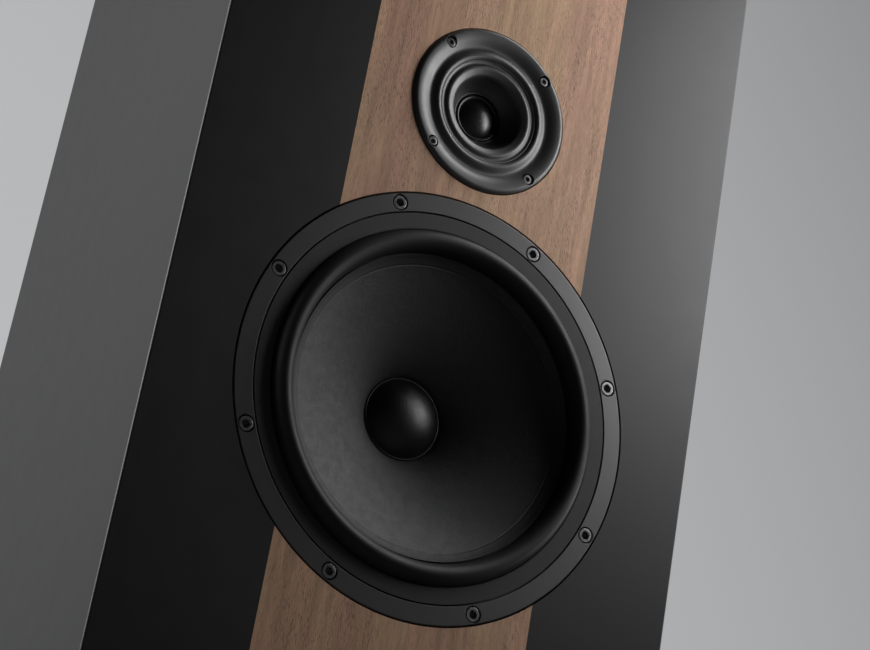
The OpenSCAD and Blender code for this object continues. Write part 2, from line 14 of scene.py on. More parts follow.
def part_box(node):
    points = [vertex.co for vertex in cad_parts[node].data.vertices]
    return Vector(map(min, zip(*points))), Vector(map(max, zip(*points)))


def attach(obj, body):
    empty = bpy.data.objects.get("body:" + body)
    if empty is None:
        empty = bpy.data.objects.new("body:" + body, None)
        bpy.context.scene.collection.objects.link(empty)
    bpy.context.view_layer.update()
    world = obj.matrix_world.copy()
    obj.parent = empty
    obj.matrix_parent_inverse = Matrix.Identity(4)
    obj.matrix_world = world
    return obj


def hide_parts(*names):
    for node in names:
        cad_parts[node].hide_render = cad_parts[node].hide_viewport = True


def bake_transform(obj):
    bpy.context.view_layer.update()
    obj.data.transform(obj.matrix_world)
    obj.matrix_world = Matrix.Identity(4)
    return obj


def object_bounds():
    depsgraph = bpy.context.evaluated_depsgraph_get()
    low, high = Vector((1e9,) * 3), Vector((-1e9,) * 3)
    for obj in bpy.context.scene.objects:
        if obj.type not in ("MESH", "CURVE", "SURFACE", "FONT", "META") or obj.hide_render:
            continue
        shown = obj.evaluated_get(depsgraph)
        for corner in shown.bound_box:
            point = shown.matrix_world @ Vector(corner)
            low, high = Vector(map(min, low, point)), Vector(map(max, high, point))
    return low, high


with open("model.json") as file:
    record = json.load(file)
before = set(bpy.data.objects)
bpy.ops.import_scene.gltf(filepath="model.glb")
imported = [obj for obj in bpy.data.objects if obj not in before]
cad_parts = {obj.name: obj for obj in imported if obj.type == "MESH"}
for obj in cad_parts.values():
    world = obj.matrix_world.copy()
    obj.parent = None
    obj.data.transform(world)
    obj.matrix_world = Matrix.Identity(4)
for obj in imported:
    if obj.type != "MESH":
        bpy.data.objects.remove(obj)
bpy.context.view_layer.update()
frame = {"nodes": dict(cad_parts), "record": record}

MM = 0.001
random.seed(11)

# ---------- places taken from the frame, in metres ----------


def middle(node):
    low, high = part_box(node)
    return (low + high) / 2


def radius_of(node):
    """Half the width of a round node, in millimetres."""
    low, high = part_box(node)
    return (high.x - low.x) / 2 / MM


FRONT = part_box("front_baffle")[0].y
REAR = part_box("rear_panel")[1].y
WOOFER = (0.0, middle("woofer_frame").z)
TWEETER = (0.0, middle("tweeter_faceplate").z)
CABINET_LOW = Vector((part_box("front_baffle")[0].x, FRONT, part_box("front_baffle")[0].z))
CABINET_HIGH = Vector((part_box("front_baffle")[1].x, REAR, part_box("front_baffle")[1].z))

# ---------- camera ----------

LENS = 88.14
EYE = Vector((-0.5824, FRONT - 1.1602, WOOFER[1] - 0.4361))
AHEAD = Vector((0.4133, 0.8394, 0.3531))
UPWARD = Vector((-0.3141, -0.2325, 0.9205))


def make_camera():
    """The photograph's view: from the left and below, with the camera rolled a little."""
    data = bpy.data.cameras.new("camera")
    data.lens = LENS
    data.sensor_width = 36
    camera = bpy.data.objects.new("camera", data)
    back = -AHEAD.normalized()
    right = UPWARD.cross(back).normalized()
    up = back.cross(right)
    turn = Matrix((right, up, back)).transposed()
    camera.matrix_world = Matrix.Translation(EYE) @ turn.to_4x4()
    bpy.context.scene.collection.objects.link(camera)
    bpy.context.scene.camera = camera


# ---------- mesh helpers ----------


def link(name, mesh, sharp=32):
    """A new object with smooth shading that breaks at edges sharper than the given angle."""
    mesh.polygons.foreach_set("use_smooth", [True] * len(mesh.polygons))
    mesh.set_sharp_from_angle(angle=math.radians(sharp))
    piece = bpy.data.objects.new(name, mesh)
    bpy.context.scene.collection.objects.link(piece)
    return piece


def arc(centre, across, along, start, end, steps):
    """Points on part of an ellipse, with its angles in degrees."""
    angles = [math.radians(start + (end - start) * i / steps) for i in range(steps + 1)]
    return [(centre[0] + across * math.cos(a), centre[1] + along * math.sin(a)) for a in angles]


def smooth(knots, steps):
    """A smooth curve through the knots."""
    points = [np.array(k, float) for k in knots]
    out = []
    for i in range(len(points) - 1):
        a, b, c, d = (points[min(max(i + k, 0), len(points) - 1)] for k in (-1, 0, 1, 2))
        for t in np.arange(steps) / steps:
            out.append(0.5 * (2 * b + (c - a) * t + (2 * a - 5 * b + 4 * c - d) * t ** 2
                              + (3 * b - a - 3 * c + d) * t ** 3))
    out.append(points[-1])
    return [tuple(p) for p in out]


def rounded(corners, steps=5):
    """An outline from (radius, depth, fillet) corners, with an arc at each that has a fillet."""
    out = []
    for i, (r, d, fillet) in enumerate(corners):
        here = np.array((r, d), float)
        if not fillet:
            out.append(tuple(here))
            continue
        before = np.array(corners[i - 1][:2], float) - here
        after = np.array(corners[(i + 1) % len(corners)][:2], float) - here
        before /= np.linalg.norm(before)
        after /= np.linalg.norm(after)
        half = math.acos(max(-1.0, min(1.0, before @ after))) / 2
        bisector = (before + after) / np.linalg.norm(before + after)
        centre = here + bisector * fillet / math.sin(half)
        first = here + before * fillet / math.tan(half) - centre
        last = here + after * fillet / math.tan(half) - centre
        sweep = math.pi - 2 * half
        for k in range(steps + 1):
            t = k / steps
            point = (first * math.sin((1 - t) * sweep) + last * math.sin(t * sweep)) / math.sin(sweep)
            out.append(tuple(centre + point))
    return out


def turned_mesh(outline, steps):
    """A closed outline turned about the depth axis. Points on the axis become poles."""
    verts, rows = [], []
    for r, d in outline:
        if r < 1e-6:
            rows.append([len(verts)] * steps)
            verts.append((0, d * MM, 0))
            continue
        rows.append(list(range(len(verts), len(verts) + steps)))
        for k in range(steps):
            a = 2 * math.pi * k / steps
            verts.append((r * MM * math.cos(a), d * MM, r * MM * math.sin(a)))
    faces = []
    for i in range(len(rows)):
        one, two = rows[i], rows[(i + 1) % len(rows)]
        for k in range(steps):
            n = (k + 1) % steps
            corners = []
            for v in (one[k], one[n], two[n], two[k]):
                if v not in corners:
                    corners.append(v)
            if len(corners) > 2:
                faces.append(corners)
    mesh = bpy.data.meshes.new("turned")
    mesh.from_pydata(verts, [], faces)
    tidy_mesh(mesh)
    return mesh


def mesh_of(work, name):
    """A mesh with the contents of a bmesh, which is freed."""
    mesh = bpy.data.meshes.new(name)
    work.to_mesh(mesh)
    work.free()
    return mesh


def tidy_mesh(mesh):
    """Joins doubled points and turns every face outwards."""
    work = bmesh.new()
    work.from_mesh(mesh)
    bmesh.ops.remove_doubles(work, verts=work.verts, dist=1e-7)
    bmesh.ops.recalc_face_normals(work, faces=work.faces)
    work.to_mesh(mesh)
    work.free()


def turned(name, outline, centre, steps, sharp=32):
    mesh = turned_mesh(outline, steps)
    mesh.transform(Matrix.Translation((centre[0], FRONT, centre[1])))
    return link(name, mesh, sharp)


def facing_back(mesh, centre, depth=0.0):
    """Turns a mesh to face backwards and puts it so many millimetres forwards of the rear face."""
    place = Matrix.Translation((centre[0], REAR - depth * MM, centre[1]))
    mesh.transform(place @ Matrix.Rotation(math.pi, 4, "Z"))
    return mesh


def standing(mesh, place):
    """Turns a mesh's axis upright and puts it at a place in metres."""
    mesh.transform(Matrix.Translation(place) @ Matrix.Rotation(math.pi / 2, 4, "X"))
    return mesh


def turned_rear(name, outline, centre, steps, sharp=32):
    """A turned piece with the depth measured forwards from the cabinet's rear face."""
    return link(name, facing_back(turned_mesh(outline, steps), centre), sharp)


def around(centre, count, turn, radius):
    """Centres of holes or screws spaced round a circle, as (x, z)."""
    for i in range(count):
        a = math.radians(turn + 360 / count * i)
        yield centre[0] + radius * MM * math.cos(a), centre[1] + radius * MM * math.sin(a)


def joined(name, meshes, sharp=32):
    """One object from several meshes."""
    work = bmesh.new()
    for mesh in meshes:
        work.from_mesh(mesh)
    return link(name, mesh_of(work, name), sharp)


def combine(piece, operation, others):
    """Applies a boolean with each of the other objects in turn, and removes them."""
    for other in others:
        change = piece.modifiers.new("shape", "BOOLEAN")
        change.operation = operation
        change.solver = "EXACT"
        change.object = other
    dg = bpy.context.evaluated_depsgraph_get()
    mesh = bpy.data.meshes.new_from_object(piece.evaluated_get(dg), depsgraph=dg)
    piece.modifiers.clear()
    piece.data = mesh
    for other in others:
        bpy.data.objects.remove(other)
    return piece


def cut(piece, cutters, sharp=32):
    """Takes the cutters' shapes out of the piece."""
    mesh = combine(piece, "DIFFERENCE", cutters).data
    mesh.polygons.foreach_set("use_smooth", [True] * len(mesh.polygons))
    mesh.set_sharp_from_angle(angle=math.radians(sharp))
    return piece


def tube_mesh(route, radius, sides=20):
    """A round wire along a smooth route of (x, y, z) points in millimetres."""
    points = [Vector(p) for p in smooth(route, 12)]
    verts, faces = [], []
    across = (points[1] - points[0]).orthogonal().normalized()
    for i, point in enumerate(points):
        along = (points[min(i + 1, len(points) - 1)] - points[max(i - 1, 0)]).normalized()
        across = (across - along * across.dot(along)).normalized()
        third = along.cross(across)
        for k in range(sides):
            a = 2 * math.pi * k / sides
            verts.append((point + radius * (math.cos(a) * across + math.sin(a) * third)) * MM)
    for i in range(len(points) - 1):
        for k in range(sides):
            n = (k + 1) % sides
            faces.append((i * sides + k, i * sides + n, (i + 1) * sides + n, (i + 1) * sides + k))
    faces.append(tuple(range(sides))[::-1])
    faces.append(tuple(range((len(points) - 1) * sides, len(points) * sides)))
    mesh = bpy.data.meshes.new("tube")
    mesh.from_pydata(verts, [], faces)
    tidy_mesh(mesh)
    return mesh


def block(name, low, high, rounded_edge, radius=1.5):
    """A box whose edges are rounded where rounded_edge(a, b) says so of an edge's two ends."""
    work = bmesh.new()
    bmesh.ops.create_cube(work, size=1)
    for v in work.verts:
        v.co = Vector(low[i] if v.co[i] < 0 else high[i] for i in range(3))
    chosen = [e for e in work.edges if rounded_edge(e.verts[0].co, e.verts[1].co)]
    if chosen:
        bmesh.ops.bevel(work, geom=chosen, offset=radius * MM, segments=4, profile=0.5, affect="EDGES")
    return link(name, mesh_of(work, name), 50)


def on_outer_edge(a, b):
    """Is an edge, given by its two ends, one of the cabinet's own outer edges?"""
    shared = 0
    for axis in range(3):
        for plane in (CABINET_LOW[axis], CABINET_HIGH[axis]):
            shared += abs(a[axis] - plane) < 1e-5 and abs(b[axis] - plane) < 1e-5
    return shared >= 2


def never(a, b):
    return False


def always(a, b):
    return True


# ---------- material helpers ----------


class Paint:
    """A material under construction, and short ways to add the nodes it is made of."""

    def __init__(self, name, **settings):
        self.material = bpy.data.materials.new(name)
        self.material.use_nodes = True
        self.nodes = self.material.node_tree.nodes
        self.links = self.material.node_tree.links
        self.shader = self.nodes["Principled BSDF"]
        self.place = self.nodes.new("ShaderNodeTexCoord").outputs["Object"]
        for socket, value in settings.items():
            self.shader.inputs[socket.replace("_", " ")].default_value = value

    def feed(self, node, socket, value):
        """Sets a socket to a number or a colour, or links it to another node's output."""
        target = node.inputs[socket]
        if isinstance(value, bpy.types.NodeSocket):
            self.links.new(value, target)
        else:
            target.default_value = value

    def vectors(self, kind, *values):
        """The outcome of a vector operation on two or three values."""
        node = self.nodes.new("ShaderNodeVectorMath")
        node.operation = kind
        for i, value in enumerate(values):
            self.feed(node, i, value)
        return node.outputs[0]

    def stretched(self, scale, place=None):
        """The object's coordinates, multiplied along X, Y and Z."""
        return self.vectors("MULTIPLY", place or self.place, scale)

    def noise(self, scale, detail=3, roughness=0.5, place=None):
        """Noise from 0 to 1 with cells 1/scale metres wide along each axis."""
        scale = scale if isinstance(scale, tuple) else (scale, scale, scale)
        node = self.nodes.new("ShaderNodeTexNoise")
        self.feed(node, "Vector", self.stretched(scale, place))
        node.inputs["Scale"].default_value = 1
        node.inputs["Detail"].default_value = detail
        node.inputs["Roughness"].default_value = roughness
        return node.outputs["Fac"]

    def bands(self, axis, scale):
        """Waves from 0 to 1 that follow each other along an axis."""
        node = self.nodes.new("ShaderNodeTexWave")
        node.bands_direction = axis
        self.feed(node, "Vector", self.stretched((1, 1, 1)))
        node.inputs["Scale"].default_value = scale
        return node.outputs["Fac"]

    def sums(self, kind, a, b):
        node = self.nodes.new("ShaderNodeMath")
        node.operation = kind
        self.feed(node, 0, a)
        self.feed(node, 1, b)
        return node.outputs[0]

    def ramp(self, value, low, high, to_low=0.0, to_high=1.0):
        """Maps low..high to to_low..to_high, held at the ends."""
        node = self.nodes.new("ShaderNodeMapRange")
        self.feed(node, 0, value)
        for i, v in enumerate((low, high, to_low, to_high)):
            node.inputs[1 + i].default_value = v
        return node.outputs[0]

    def colours(self, value, *stops):
        """A colour that runs through (position, (r, g, b)) stops."""
        node = self.nodes.new("ShaderNodeValToRGB")
        self.feed(node, 0, value)
        while len(node.color_ramp.elements) < len(stops):
            node.color_ramp.elements.new(0.5)
        for element, (position, colour) in zip(node.color_ramp.elements, stops):
            element.position = position
            element.color = (*colour, 1)
        return node.outputs[0]

    def blend(self, shares):
        """The sum of (value, share) pairs."""
        total = None
        for value, share in shares:
            part = self.sums("MULTIPLY", value, share)
            total = part if total is None else self.sums("ADD", total, part)
        return total

    def mix(self, amount, one, two):
        node = self.nodes.new("ShaderNodeMix")
        node.data_type = "RGBA"
        self.feed(node, 0, amount)
        self.feed(node, 6, (*one, 1))
        self.feed(node, 7, (*two, 1))
        return node.outputs[2]

    def coloured(self, amount, one, two):
        self.set("Base Color", self.mix(amount, one, two))

    def worn(self, scale, detail, low, high):
        """Roughness that wanders between two values."""
        self.set("Roughness", self.ramp(self.noise(scale, detail), 0.3, 0.7, low, high))

    def bump(self, height, depth_mm):
        """A bump of the given depth, on top of any bump already there."""
        node = self.nodes.new("ShaderNodeBump")
        node.inputs["Strength"].default_value = 1
        node.inputs["Distance"].default_value = depth_mm * MM
        self.feed(node, "Height", height)
        before = self.shader.inputs["Normal"]
        if before.is_linked:
            self.links.new(before.links[0].from_socket, node.inputs["Normal"])
        self.links.new(node.outputs[0], before)

    def set(self, socket, value):
        self.feed(self.shader, socket, value)


def swirled(paint, amount_mm, scale):
    """The object's coordinates, pushed about by slow noise."""
    node = paint.nodes.new("ShaderNodeTexNoise")
    paint.feed(node, "Vector", paint.stretched(scale))
    node.inputs["Scale"].default_value = 1
    node.inputs["Detail"].default_value = 2
    centred = paint.vectors("SUBTRACT", node.outputs["Color"], (0.5, 0.5, 0.5))
    return paint.vectors("MULTIPLY_ADD", centred, (amount_mm * MM,) * 3, paint.place)


# ---------- materials ----------


def surface(name, tint, dark, light, wear, grain, depth_mm, **settings):
    """A plain surface. Each noise is its scale and detail: tint mixes the dark and light colours,
    wear goes on with the roughness's two values, and grain is a bump of the given depth."""
    p = Paint(name, **settings)
    p.coloured(p.noise(*tint), dark, light)
    if wear:
        p.worn(*wear)
    p.bump(p.noise(*grain), depth_mm)
    return p.material


def screw_metal(name, dark, light, roughness):
    """Plated screw steel with faint wear."""
    return surface(name, (700, 4), dark, light, (900, 4, roughness - 0.06, roughness + 0.08),
                   (3000, 2), 0.006, Metallic=0.9, Roughness=roughness)


def plain_metal(name, dark, light, roughness):
    """Plated or polished metal, with fine marks that run from front to back."""
    wear = ((1500, 125, 1500), 3, roughness - 0.07, roughness + 0.07)
    return surface(name, (125, 4), dark, light, wear, (1500, 3), 0.008, Metallic=1.0, Roughness=roughness)


def moulding(name, dark, light, roughness, texture_mm=0.02, grain=1500):
    """Moulded plastic with a fine spark-eroded texture."""
    return surface(name, (grain / 6, 3), dark, light, (grain / 3, 3, roughness - 0.05, roughness + 0.05),
                   (grain, 3), texture_mm, Roughness=roughness)


def walnut():
    """Oiled walnut veneer: upright grain, pinkish and tan bands, soft streaks and short dark pores."""
    p = Paint("walnut", Roughness=0.55, Specular_IOR_Level=0.2)
    wavy = swirled(p, 22, (6, 6, 2.2))
    broad = p.noise((20, 20, 1.5), 2, place=wavy)
    streaks = p.noise((170, 170, 12), 4, 0.55, place=wavy)
    fibre = p.noise((900, 900, 120), 3, 0.6, place=wavy)
    patch = p.blend([(broad, 0.55), (p.noise((75, 75, 16), 3, place=wavy), 0.45)])
    tint = p.mix(p.ramp(patch, 0.42, 0.58), (0.424, 0.247, 0.168), (0.430, 0.274, 0.168))
    shade = p.blend([(broad, 0.20), (streaks, 0.50), (fibre, 0.30)])
    light = p.ramp(shade, 0.38, 0.62, 0.74, 1.24)
    pores = p.ramp(p.noise((1700, 1700, 260), 2, 0.5, place=wavy), 0.52, 0.68)
    gate = p.ramp(p.noise((55, 55, 12), 2, place=wavy), 0.38, 0.56, 0.25, 1.0)
    ticks = p.sums("MULTIPLY", pores, gate)
    shaded = p.nodes.new("ShaderNodeVectorMath")
    shaded.operation = "SCALE"
    p.feed(shaded, 0, tint)
    p.feed(shaded, "Scale", p.sums("MULTIPLY", light, p.ramp(ticks, 0, 1, 1, 0.55)))
    p.set("Base Color", shaded.outputs[0])
    p.set("Roughness", p.ramp(shade, 0.36, 0.64, 0.60, 0.52))
    p.bump(p.sums("MULTIPLY", ticks, -1.0), 0.06)
    p.bump(fibre, 0.04)
    return p.material


def cone_paper():
    """Pressed black paper pulp: matted fibres, small clumps and pits."""
    p = Paint("cone_paper", Roughness=0.62, Specular_IOR_Level=0.52)
    wavy = swirled(p, 3.5, (160, 160, 160))
    clumps = p.noise(170, 5, 0.62)
    fibres = p.noise((760, 900, 2100), 4, 0.6, place=wavy)
    strands = p.noise((2100, 900, 700), 4, 0.6, place=wavy)
    matted = p.sums("MAXIMUM", fibres, strands)
    tone = p.blend([(clumps, 0.5), (matted, 0.5)])
    flecks = p.ramp(p.noise(1050, 2, 0.6), 0.62, 0.74)
    p.coloured(flecks, (0.0010, 0.0010, 0.0010), (0.022, 0.022, 0.0225))
    p.set("Roughness", p.ramp(tone, 0.40, 0.60, 0.66, 0.56))
    p.bump(clumps, 0.17)
    p.bump(matted, 0.22)
    return p.material


def cap_paper():
    """Dust cap of doped paper, finer and shinier than the cone."""
    p = Paint("cap_paper", Roughness=0.42, Specular_IOR_Level=0.45)
    grain = p.noise(1300, 4, 0.65)
    p.coloured(grain, (0.0004, 0.0004, 0.0004), (0.0010, 0.0010, 0.0010))
    p.worn(800, 3, 0.30, 0.46)
    p.bump(grain, 0.16)
    return p.material


def dome_cloth():
    """Coated silk, with its weave just showing through the coat."""
    p = Paint("dome_cloth", Roughness=0.30)
    p.coloured(p.noise(1200, 3), (0.003, 0.003, 0.0032), (0.005, 0.005, 0.0053))
    p.bump(p.sums("MULTIPLY", p.bands("X", 420), p.bands("Z", 420)), 0.015)
    p.worn(500, 3, 0.26, 0.36)
    return p.material


def plywood():
    p = Paint("birch_ply", Roughness=0.6)
    plies = p.noise((14, 14, 700), 2)
    streaks = p.noise((18, 420, 420), 4)
    tone = p.blend([(plies, 0.5), (streaks, 0.5)])
    p.set("Base Color", p.colours(tone, (0.38, (0.36, 0.25, 0.15)), (0.62, (0.62, 0.48, 0.32))))
    p.bump(streaks, 0.03)
    return p.material


def fleece():
    """Loose white polyester fibre."""
    p = Paint("wadding", Roughness=0.95, Sheen_Weight=0.4)
    wavy = swirled(p, 12, (60, 60, 60))
    fibres = p.sums("MAXIMUM", p.noise((500, 90, 700), 4, place=wavy), p.noise((500, 700, 90), 4, place=wavy))
    p.set("Base Color", p.colours(fibres, (0.45, (0.42, 0.41, 0.38)), (0.66, (0.80, 0.79, 0.75))))
    p.bump(fibres, 0.8)
    return p.material


def coil_wire():
    """Enamelled copper wound in close turns, with painted shade darkening the grooves between the turns."""
    p = Paint("copper_wire", Metallic=0.9, Roughness=0.3)
    turns = p.bands("Z", 260)
    # painted shade: the colour is darker where the turns' bump is low, in the grooves between the turns
    p.coloured(turns, (0.26, 0.085, 0.03), (0.66, 0.27, 0.12))
    p.worn(400, 3, 0.24, 0.40)
    p.bump(turns, 0.25)
    return p.material


SURFACES = [
    # slot, noise of its colour, dark and light colour, wear, grain, depth in mm, shader settings
    # satin charcoal lacquer over fibreboard, with a trace of orange peel
    ("dark_lacquer", (9, 2), (0.0070, 0.0070, 0.0073), (0.0085, 0.0085, 0.0088),
     (60, 3, 0.42, 0.45), (420, 2), 0.012, {"Roughness": 0.44, "Specular_IOR_Level": 0.33}),
    # fine gunmetal powder coat
    ("cast_frame", (900, 3), (0.066, 0.065, 0.066), (0.084, 0.083, 0.084),
     (140, 4, 0.39, 0.41), (2600, 2), 0.010, {"Metallic": 0.95, "Roughness": 0.40}),
    ("gasket_rubber", (700, 3), (0.032, 0.031, 0.032), (0.043, 0.042, 0.0425),
     (90, 3, 0.47, 0.57), (1900, 3), 0.02, {"Roughness": 0.56, "Specular_IOR_Level": 0.15}),
    # smooth butyl rubber with a soft sheen
    ("surround_rubber", (260, 3), (0.006, 0.006, 0.0062), (0.009, 0.009, 0.0092),
     (70, 4, 0.52, 0.60), (1500, 2), 0.008, {"Roughness": 0.56, "Specular_IOR_Level": 0.25}),
    # satin moulded plastic of the tweeter's plate
    ("tweeter_plastic", (300, 3), (0.012, 0.012, 0.0123), (0.016, 0.016, 0.0163),
     (120, 4, 0.40, 0.46), (2400, 2), 0.006, {"Roughness": 0.43, "Specular_IOR_Level": 0.6}),
    ("ferrite", (220, 5, 0.7), (0.022, 0.022, 0.024), (0.050, 0.050, 0.054),
     (90, 3, 0.5, 0.72), (900, 5, 0.7), 0.05, {"Roughness": 0.62}),
]
MOULDED = [
    # slot, its dark and light colour, roughness, depth of its texture in mm, grain
    ("foot_rubber", (0.014, 0.014, 0.014), (0.024, 0.024, 0.024), 0.7, 0.04),
    ("port_plastic", (0.014, 0.014, 0.015), (0.022, 0.022, 0.023), 0.5, 0.03),
    ("cup_plastic", (0.015, 0.015, 0.016), (0.024, 0.024, 0.025), 0.48, 0.035),
    ("moulded_plastic", (0.018, 0.018, 0.019), (0.028, 0.028, 0.029), 0.5),
    ("red_knob", (0.32, 0.008, 0.008), (0.42, 0.014, 0.012), 0.26, 0.006),
    ("black_knob", (0.011, 0.011, 0.011), (0.017, 0.017, 0.017), 0.26, 0.006),
    ("circuit_board", (0.018, 0.095, 0.045), (0.03, 0.14, 0.065), 0.38, 0.01),
    ("capacitor_film", (0.04, 0.09, 0.30), (0.06, 0.13, 0.38), 0.3, 0.02, 400),
    ("resistor_ceramic", (0.66, 0.64, 0.58), (0.82, 0.80, 0.74), 0.7, 0.06),
    ("nylon", (0.66, 0.66, 0.63), (0.80, 0.80, 0.77), 0.45, 0.01),
    ("wire_jacket", (0.32, 0.02, 0.016), (0.44, 0.035, 0.026), 0.4, 0.01),
    ("seal_foam", (0.010, 0.010, 0.010), (0.022, 0.022, 0.022), 0.9, 0.15, 900),
    ("former_film", (0.40, 0.26, 0.09), (0.52, 0.36, 0.14), 0.35, 0.01),
    ("spider_cloth", (0.38, 0.22, 0.07), (0.56, 0.36, 0.14), 0.8, 0.12, 1200),
    ("tag_board", (0.18, 0.10, 0.045), (0.27, 0.16, 0.075), 0.55, 0.03),
]


def make_materials():
    """One material for each of the record's slots."""
    made = {row[0]: moulding(*row) for row in MOULDED}
    made.update({row[0]: surface(*row[:-1], **row[-1]) for row in SURFACES})
    made.update({
        "walnut": walnut(),
        "cone_paper": cone_paper(),
        "cap_paper": cap_paper(),
        "dome_cloth": dome_cloth(),
        "black_screw": screw_metal("black_screw", (0.13, 0.13, 0.135), (0.24, 0.24, 0.25), 0.31),
        "zinc_screw": screw_metal("zinc_screw", (0.34, 0.35, 0.36), (0.52, 0.53, 0.54), 0.3),
        "zinc_steel": plain_metal("zinc_steel", (0.42, 0.43, 0.44), (0.58, 0.59, 0.60), 0.34),
        "gold_brass": plain_metal("gold_brass", (0.62, 0.40, 0.13), (0.80, 0.56, 0.22), 0.22),
        "copper_wire": coil_wire(),
        "birch_ply": plywood(),
        "wadding": fleece(),
    })
    return made


MATERIALS = make_materials()
SLOT_OF = {part["node"]: part["material_slot"] for part in frame["record"]["subparts"]}
BODY_OF = {node: body for body, nodes in frame["record"]["behaviour"]["bodies"].items() for node in nodes}


def finish_piece(piece, *nodes, ride=True):
    """Gives a piece the material and the body of the nodes it stands for."""
    name = SLOT_OF[nodes[0]]
    piece.data.materials.clear()
    piece.data.materials.append(MATERIALS[name])
    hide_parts(*nodes)
    if ride:
        flat = piece.modifiers.new("flat faces stay flat", "WEIGHTED_NORMAL")
        flat.keep_sharp = True
        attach(piece, BODY_OF[nodes[0]])
    return piece


# ---------- cabinet ----------

WOOFER_RECESS = (143.0, 10.0)
WOOFER_HOLE = 120.0
TWEETER_RECESS = (59.5, 6.0)
TWEETER_HOLE = 40.0
STRIP_DEPTH = 3.0
AHEAD_OF_FACE = -20.0
CHAMFER = 0.35
BAFFLE_EDGE = 1.6


def plug(radius, start, end):
    """Outline of a plain cylinder between two depths."""
    return [(0, start), (radius, start), (radius, end), (0, end)]


def hole(centre, radius, depth, start=AHEAD_OF_FACE):
    return turned("hole", plug(radius, start, depth), centre, 256)


def make_cabinet():
    low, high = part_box("front_baffle")
    strip_low, strip_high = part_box("upper_walnut_panel")
    baffle = block("baffle_shell", low, high, on_outer_edge, BAFFLE_EDGE)
    past = 20 * MM
    groove = block("groove", Vector((strip_low.x, FRONT - past, low.z - past)),
                   Vector((strip_high.x, FRONT + STRIP_DEPTH * MM, high.z + past)), never)
    cut(baffle, [
        groove,
        hole(WOOFER, *WOOFER_RECESS),
        hole(TWEETER, *TWEETER_RECESS),
        hole(WOOFER, WOOFER_HOLE, 60, 2),
        hole(TWEETER, TWEETER_HOLE, 60, 2),
    ], 50)
    finish_piece(baffle, "front_baffle")
    for node in ("upper_walnut_panel", "lower_walnut_panel"):
        strip = block(node + "_veneer", *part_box(node), on_outer_edge, BAFFLE_EDGE)
        cut(strip, [hole(WOOFER, *WOOFER_RECESS), hole(TWEETER, *TWEETER_RECESS)], 50)
        finish_piece(strip, node)
    for node in ("left_side_panel", "right_side_panel", "top_panel", "bottom_panel"):
        finish_piece(block(node + "_shell", *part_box(node), on_outer_edge), node)
    make_rear_panel()


# ---------- screws ----------


def screw_mesh(head_radius, head_height, top, shank, length, hexagon, turn):
    """A socket head screw: rounded rim, hexagonal socket with a lead-in, and its shank."""
    corners = [(0, top, 0), (head_radius - 0.2, top, 0.45), (head_radius, top + head_height, 0),
               (shank, top + head_height, 0), (shank, top + length, 0.3), (0, top + length, 0)]
    head = link("screw", turned_mesh(rounded(corners), 64))
    lead = hexagon / 2 / math.cos(math.radians(30))
    funnel = [(0, top - 1), (lead + 1, top - 1), (lead, top + 0.02), (lead - 0.5, top + 0.5), (0, top + 0.5)]
    mouth = link("mouth", turned_mesh(funnel, 48))
    work = bmesh.new()
    bmesh.ops.create_cone(work, cap_ends=True, segments=6, radius1=lead * MM, radius2=lead * MM,
                          depth=head_height * 1.1 * MM)
    prism = mesh_of(work, "prism")
    prism.transform(Matrix.Translation((0, top * MM, 0)) @ Matrix.Rotation(math.radians(90), 4, "X")
                    @ Matrix.Rotation(turn, 4, "Z"))
    cut(head, [mouth, link("prism", prism)])
    mesh = head.data
    bpy.data.objects.remove(head)
    return mesh


def make_screws(name, node, centre, count, turn, radius, size):
    meshes = []
    for x, z in around(centre, count, turn, radius):
        mesh = screw_mesh(*size, turn=random.uniform(0, math.pi / 3))
        mesh.transform(Matrix.Translation((x, FRONT, z)))
        meshes.append(mesh)
    finish_piece(joined(name, meshes), node)


def counterbores(centre, count, turn, radius, bore, floor, lip, start=-12.0):
    """Cutters for screw holes with a small chamfer where they meet the face at depth lip."""
    mouth = bore + CHAMFER
    outline = [(0, start), (mouth + lip - start, start), (mouth, lip), (bore, lip + CHAMFER),
               (bore, floor), (0, floor)]
    if start > lip - 1:
        outline[1] = (mouth, start)
    return [turned("bore", outline, place, 64) for place in around(centre, count, turn, radius)]


# ---------- woofer ----------

FLANGE_R = radius_of("woofer_frame")
GROOVE_R = FLANGE_R - 12.6
BOLT_R = 135.6
BOLT_TURN = 22.5
ROLL_IN, ROLL_OUT = 102.4, 117.0
ROLL_BASE = 3.0
ROLL_RISE = 11.0
RUBBER = 0.9
CONE_KNOTS = [(101, 3.1), (94.5, 8.6), (75, 18.4), (55, 28.2), (40, 36.6), (31, 43.2), (27.4, 47.6)]
CONE_T = 1.1
CAP_R, CAP_DEPTH, CAP_RISE = 26.7, 45.9, 12.0
HALF_SPOKE = 7.0


def basket_window(mid):
    """Cutter for the window between two spokes, whose middle is at the angle mid."""
    half = math.radians(22.5)
    push = HALF_SPOKE / math.sin(half)
    corners = []
    for r, a in ((30.0, mid - half), (150.0, mid - half), (150.0, mid + half), (30.0, mid + half)):
        corners.append((r * math.cos(a) + push * math.cos(mid), r * math.sin(a) + push * math.sin(mid)))
    verts = [(x * MM, FRONT + d * MM, WOOFER[1] + z * MM) for d in (15, 59) for x, z in corners]
    sides = [(k, k + 4, (k + 1) % 4 + 4, (k + 1) % 4) for k in range(4)]
    mesh = bpy.data.meshes.new("window")
    mesh.from_pydata(verts, [], [(0, 1, 2, 3), (7, 6, 5, 4)] + sides)
    tidy_mesh(mesh)
    return link("window", mesh)


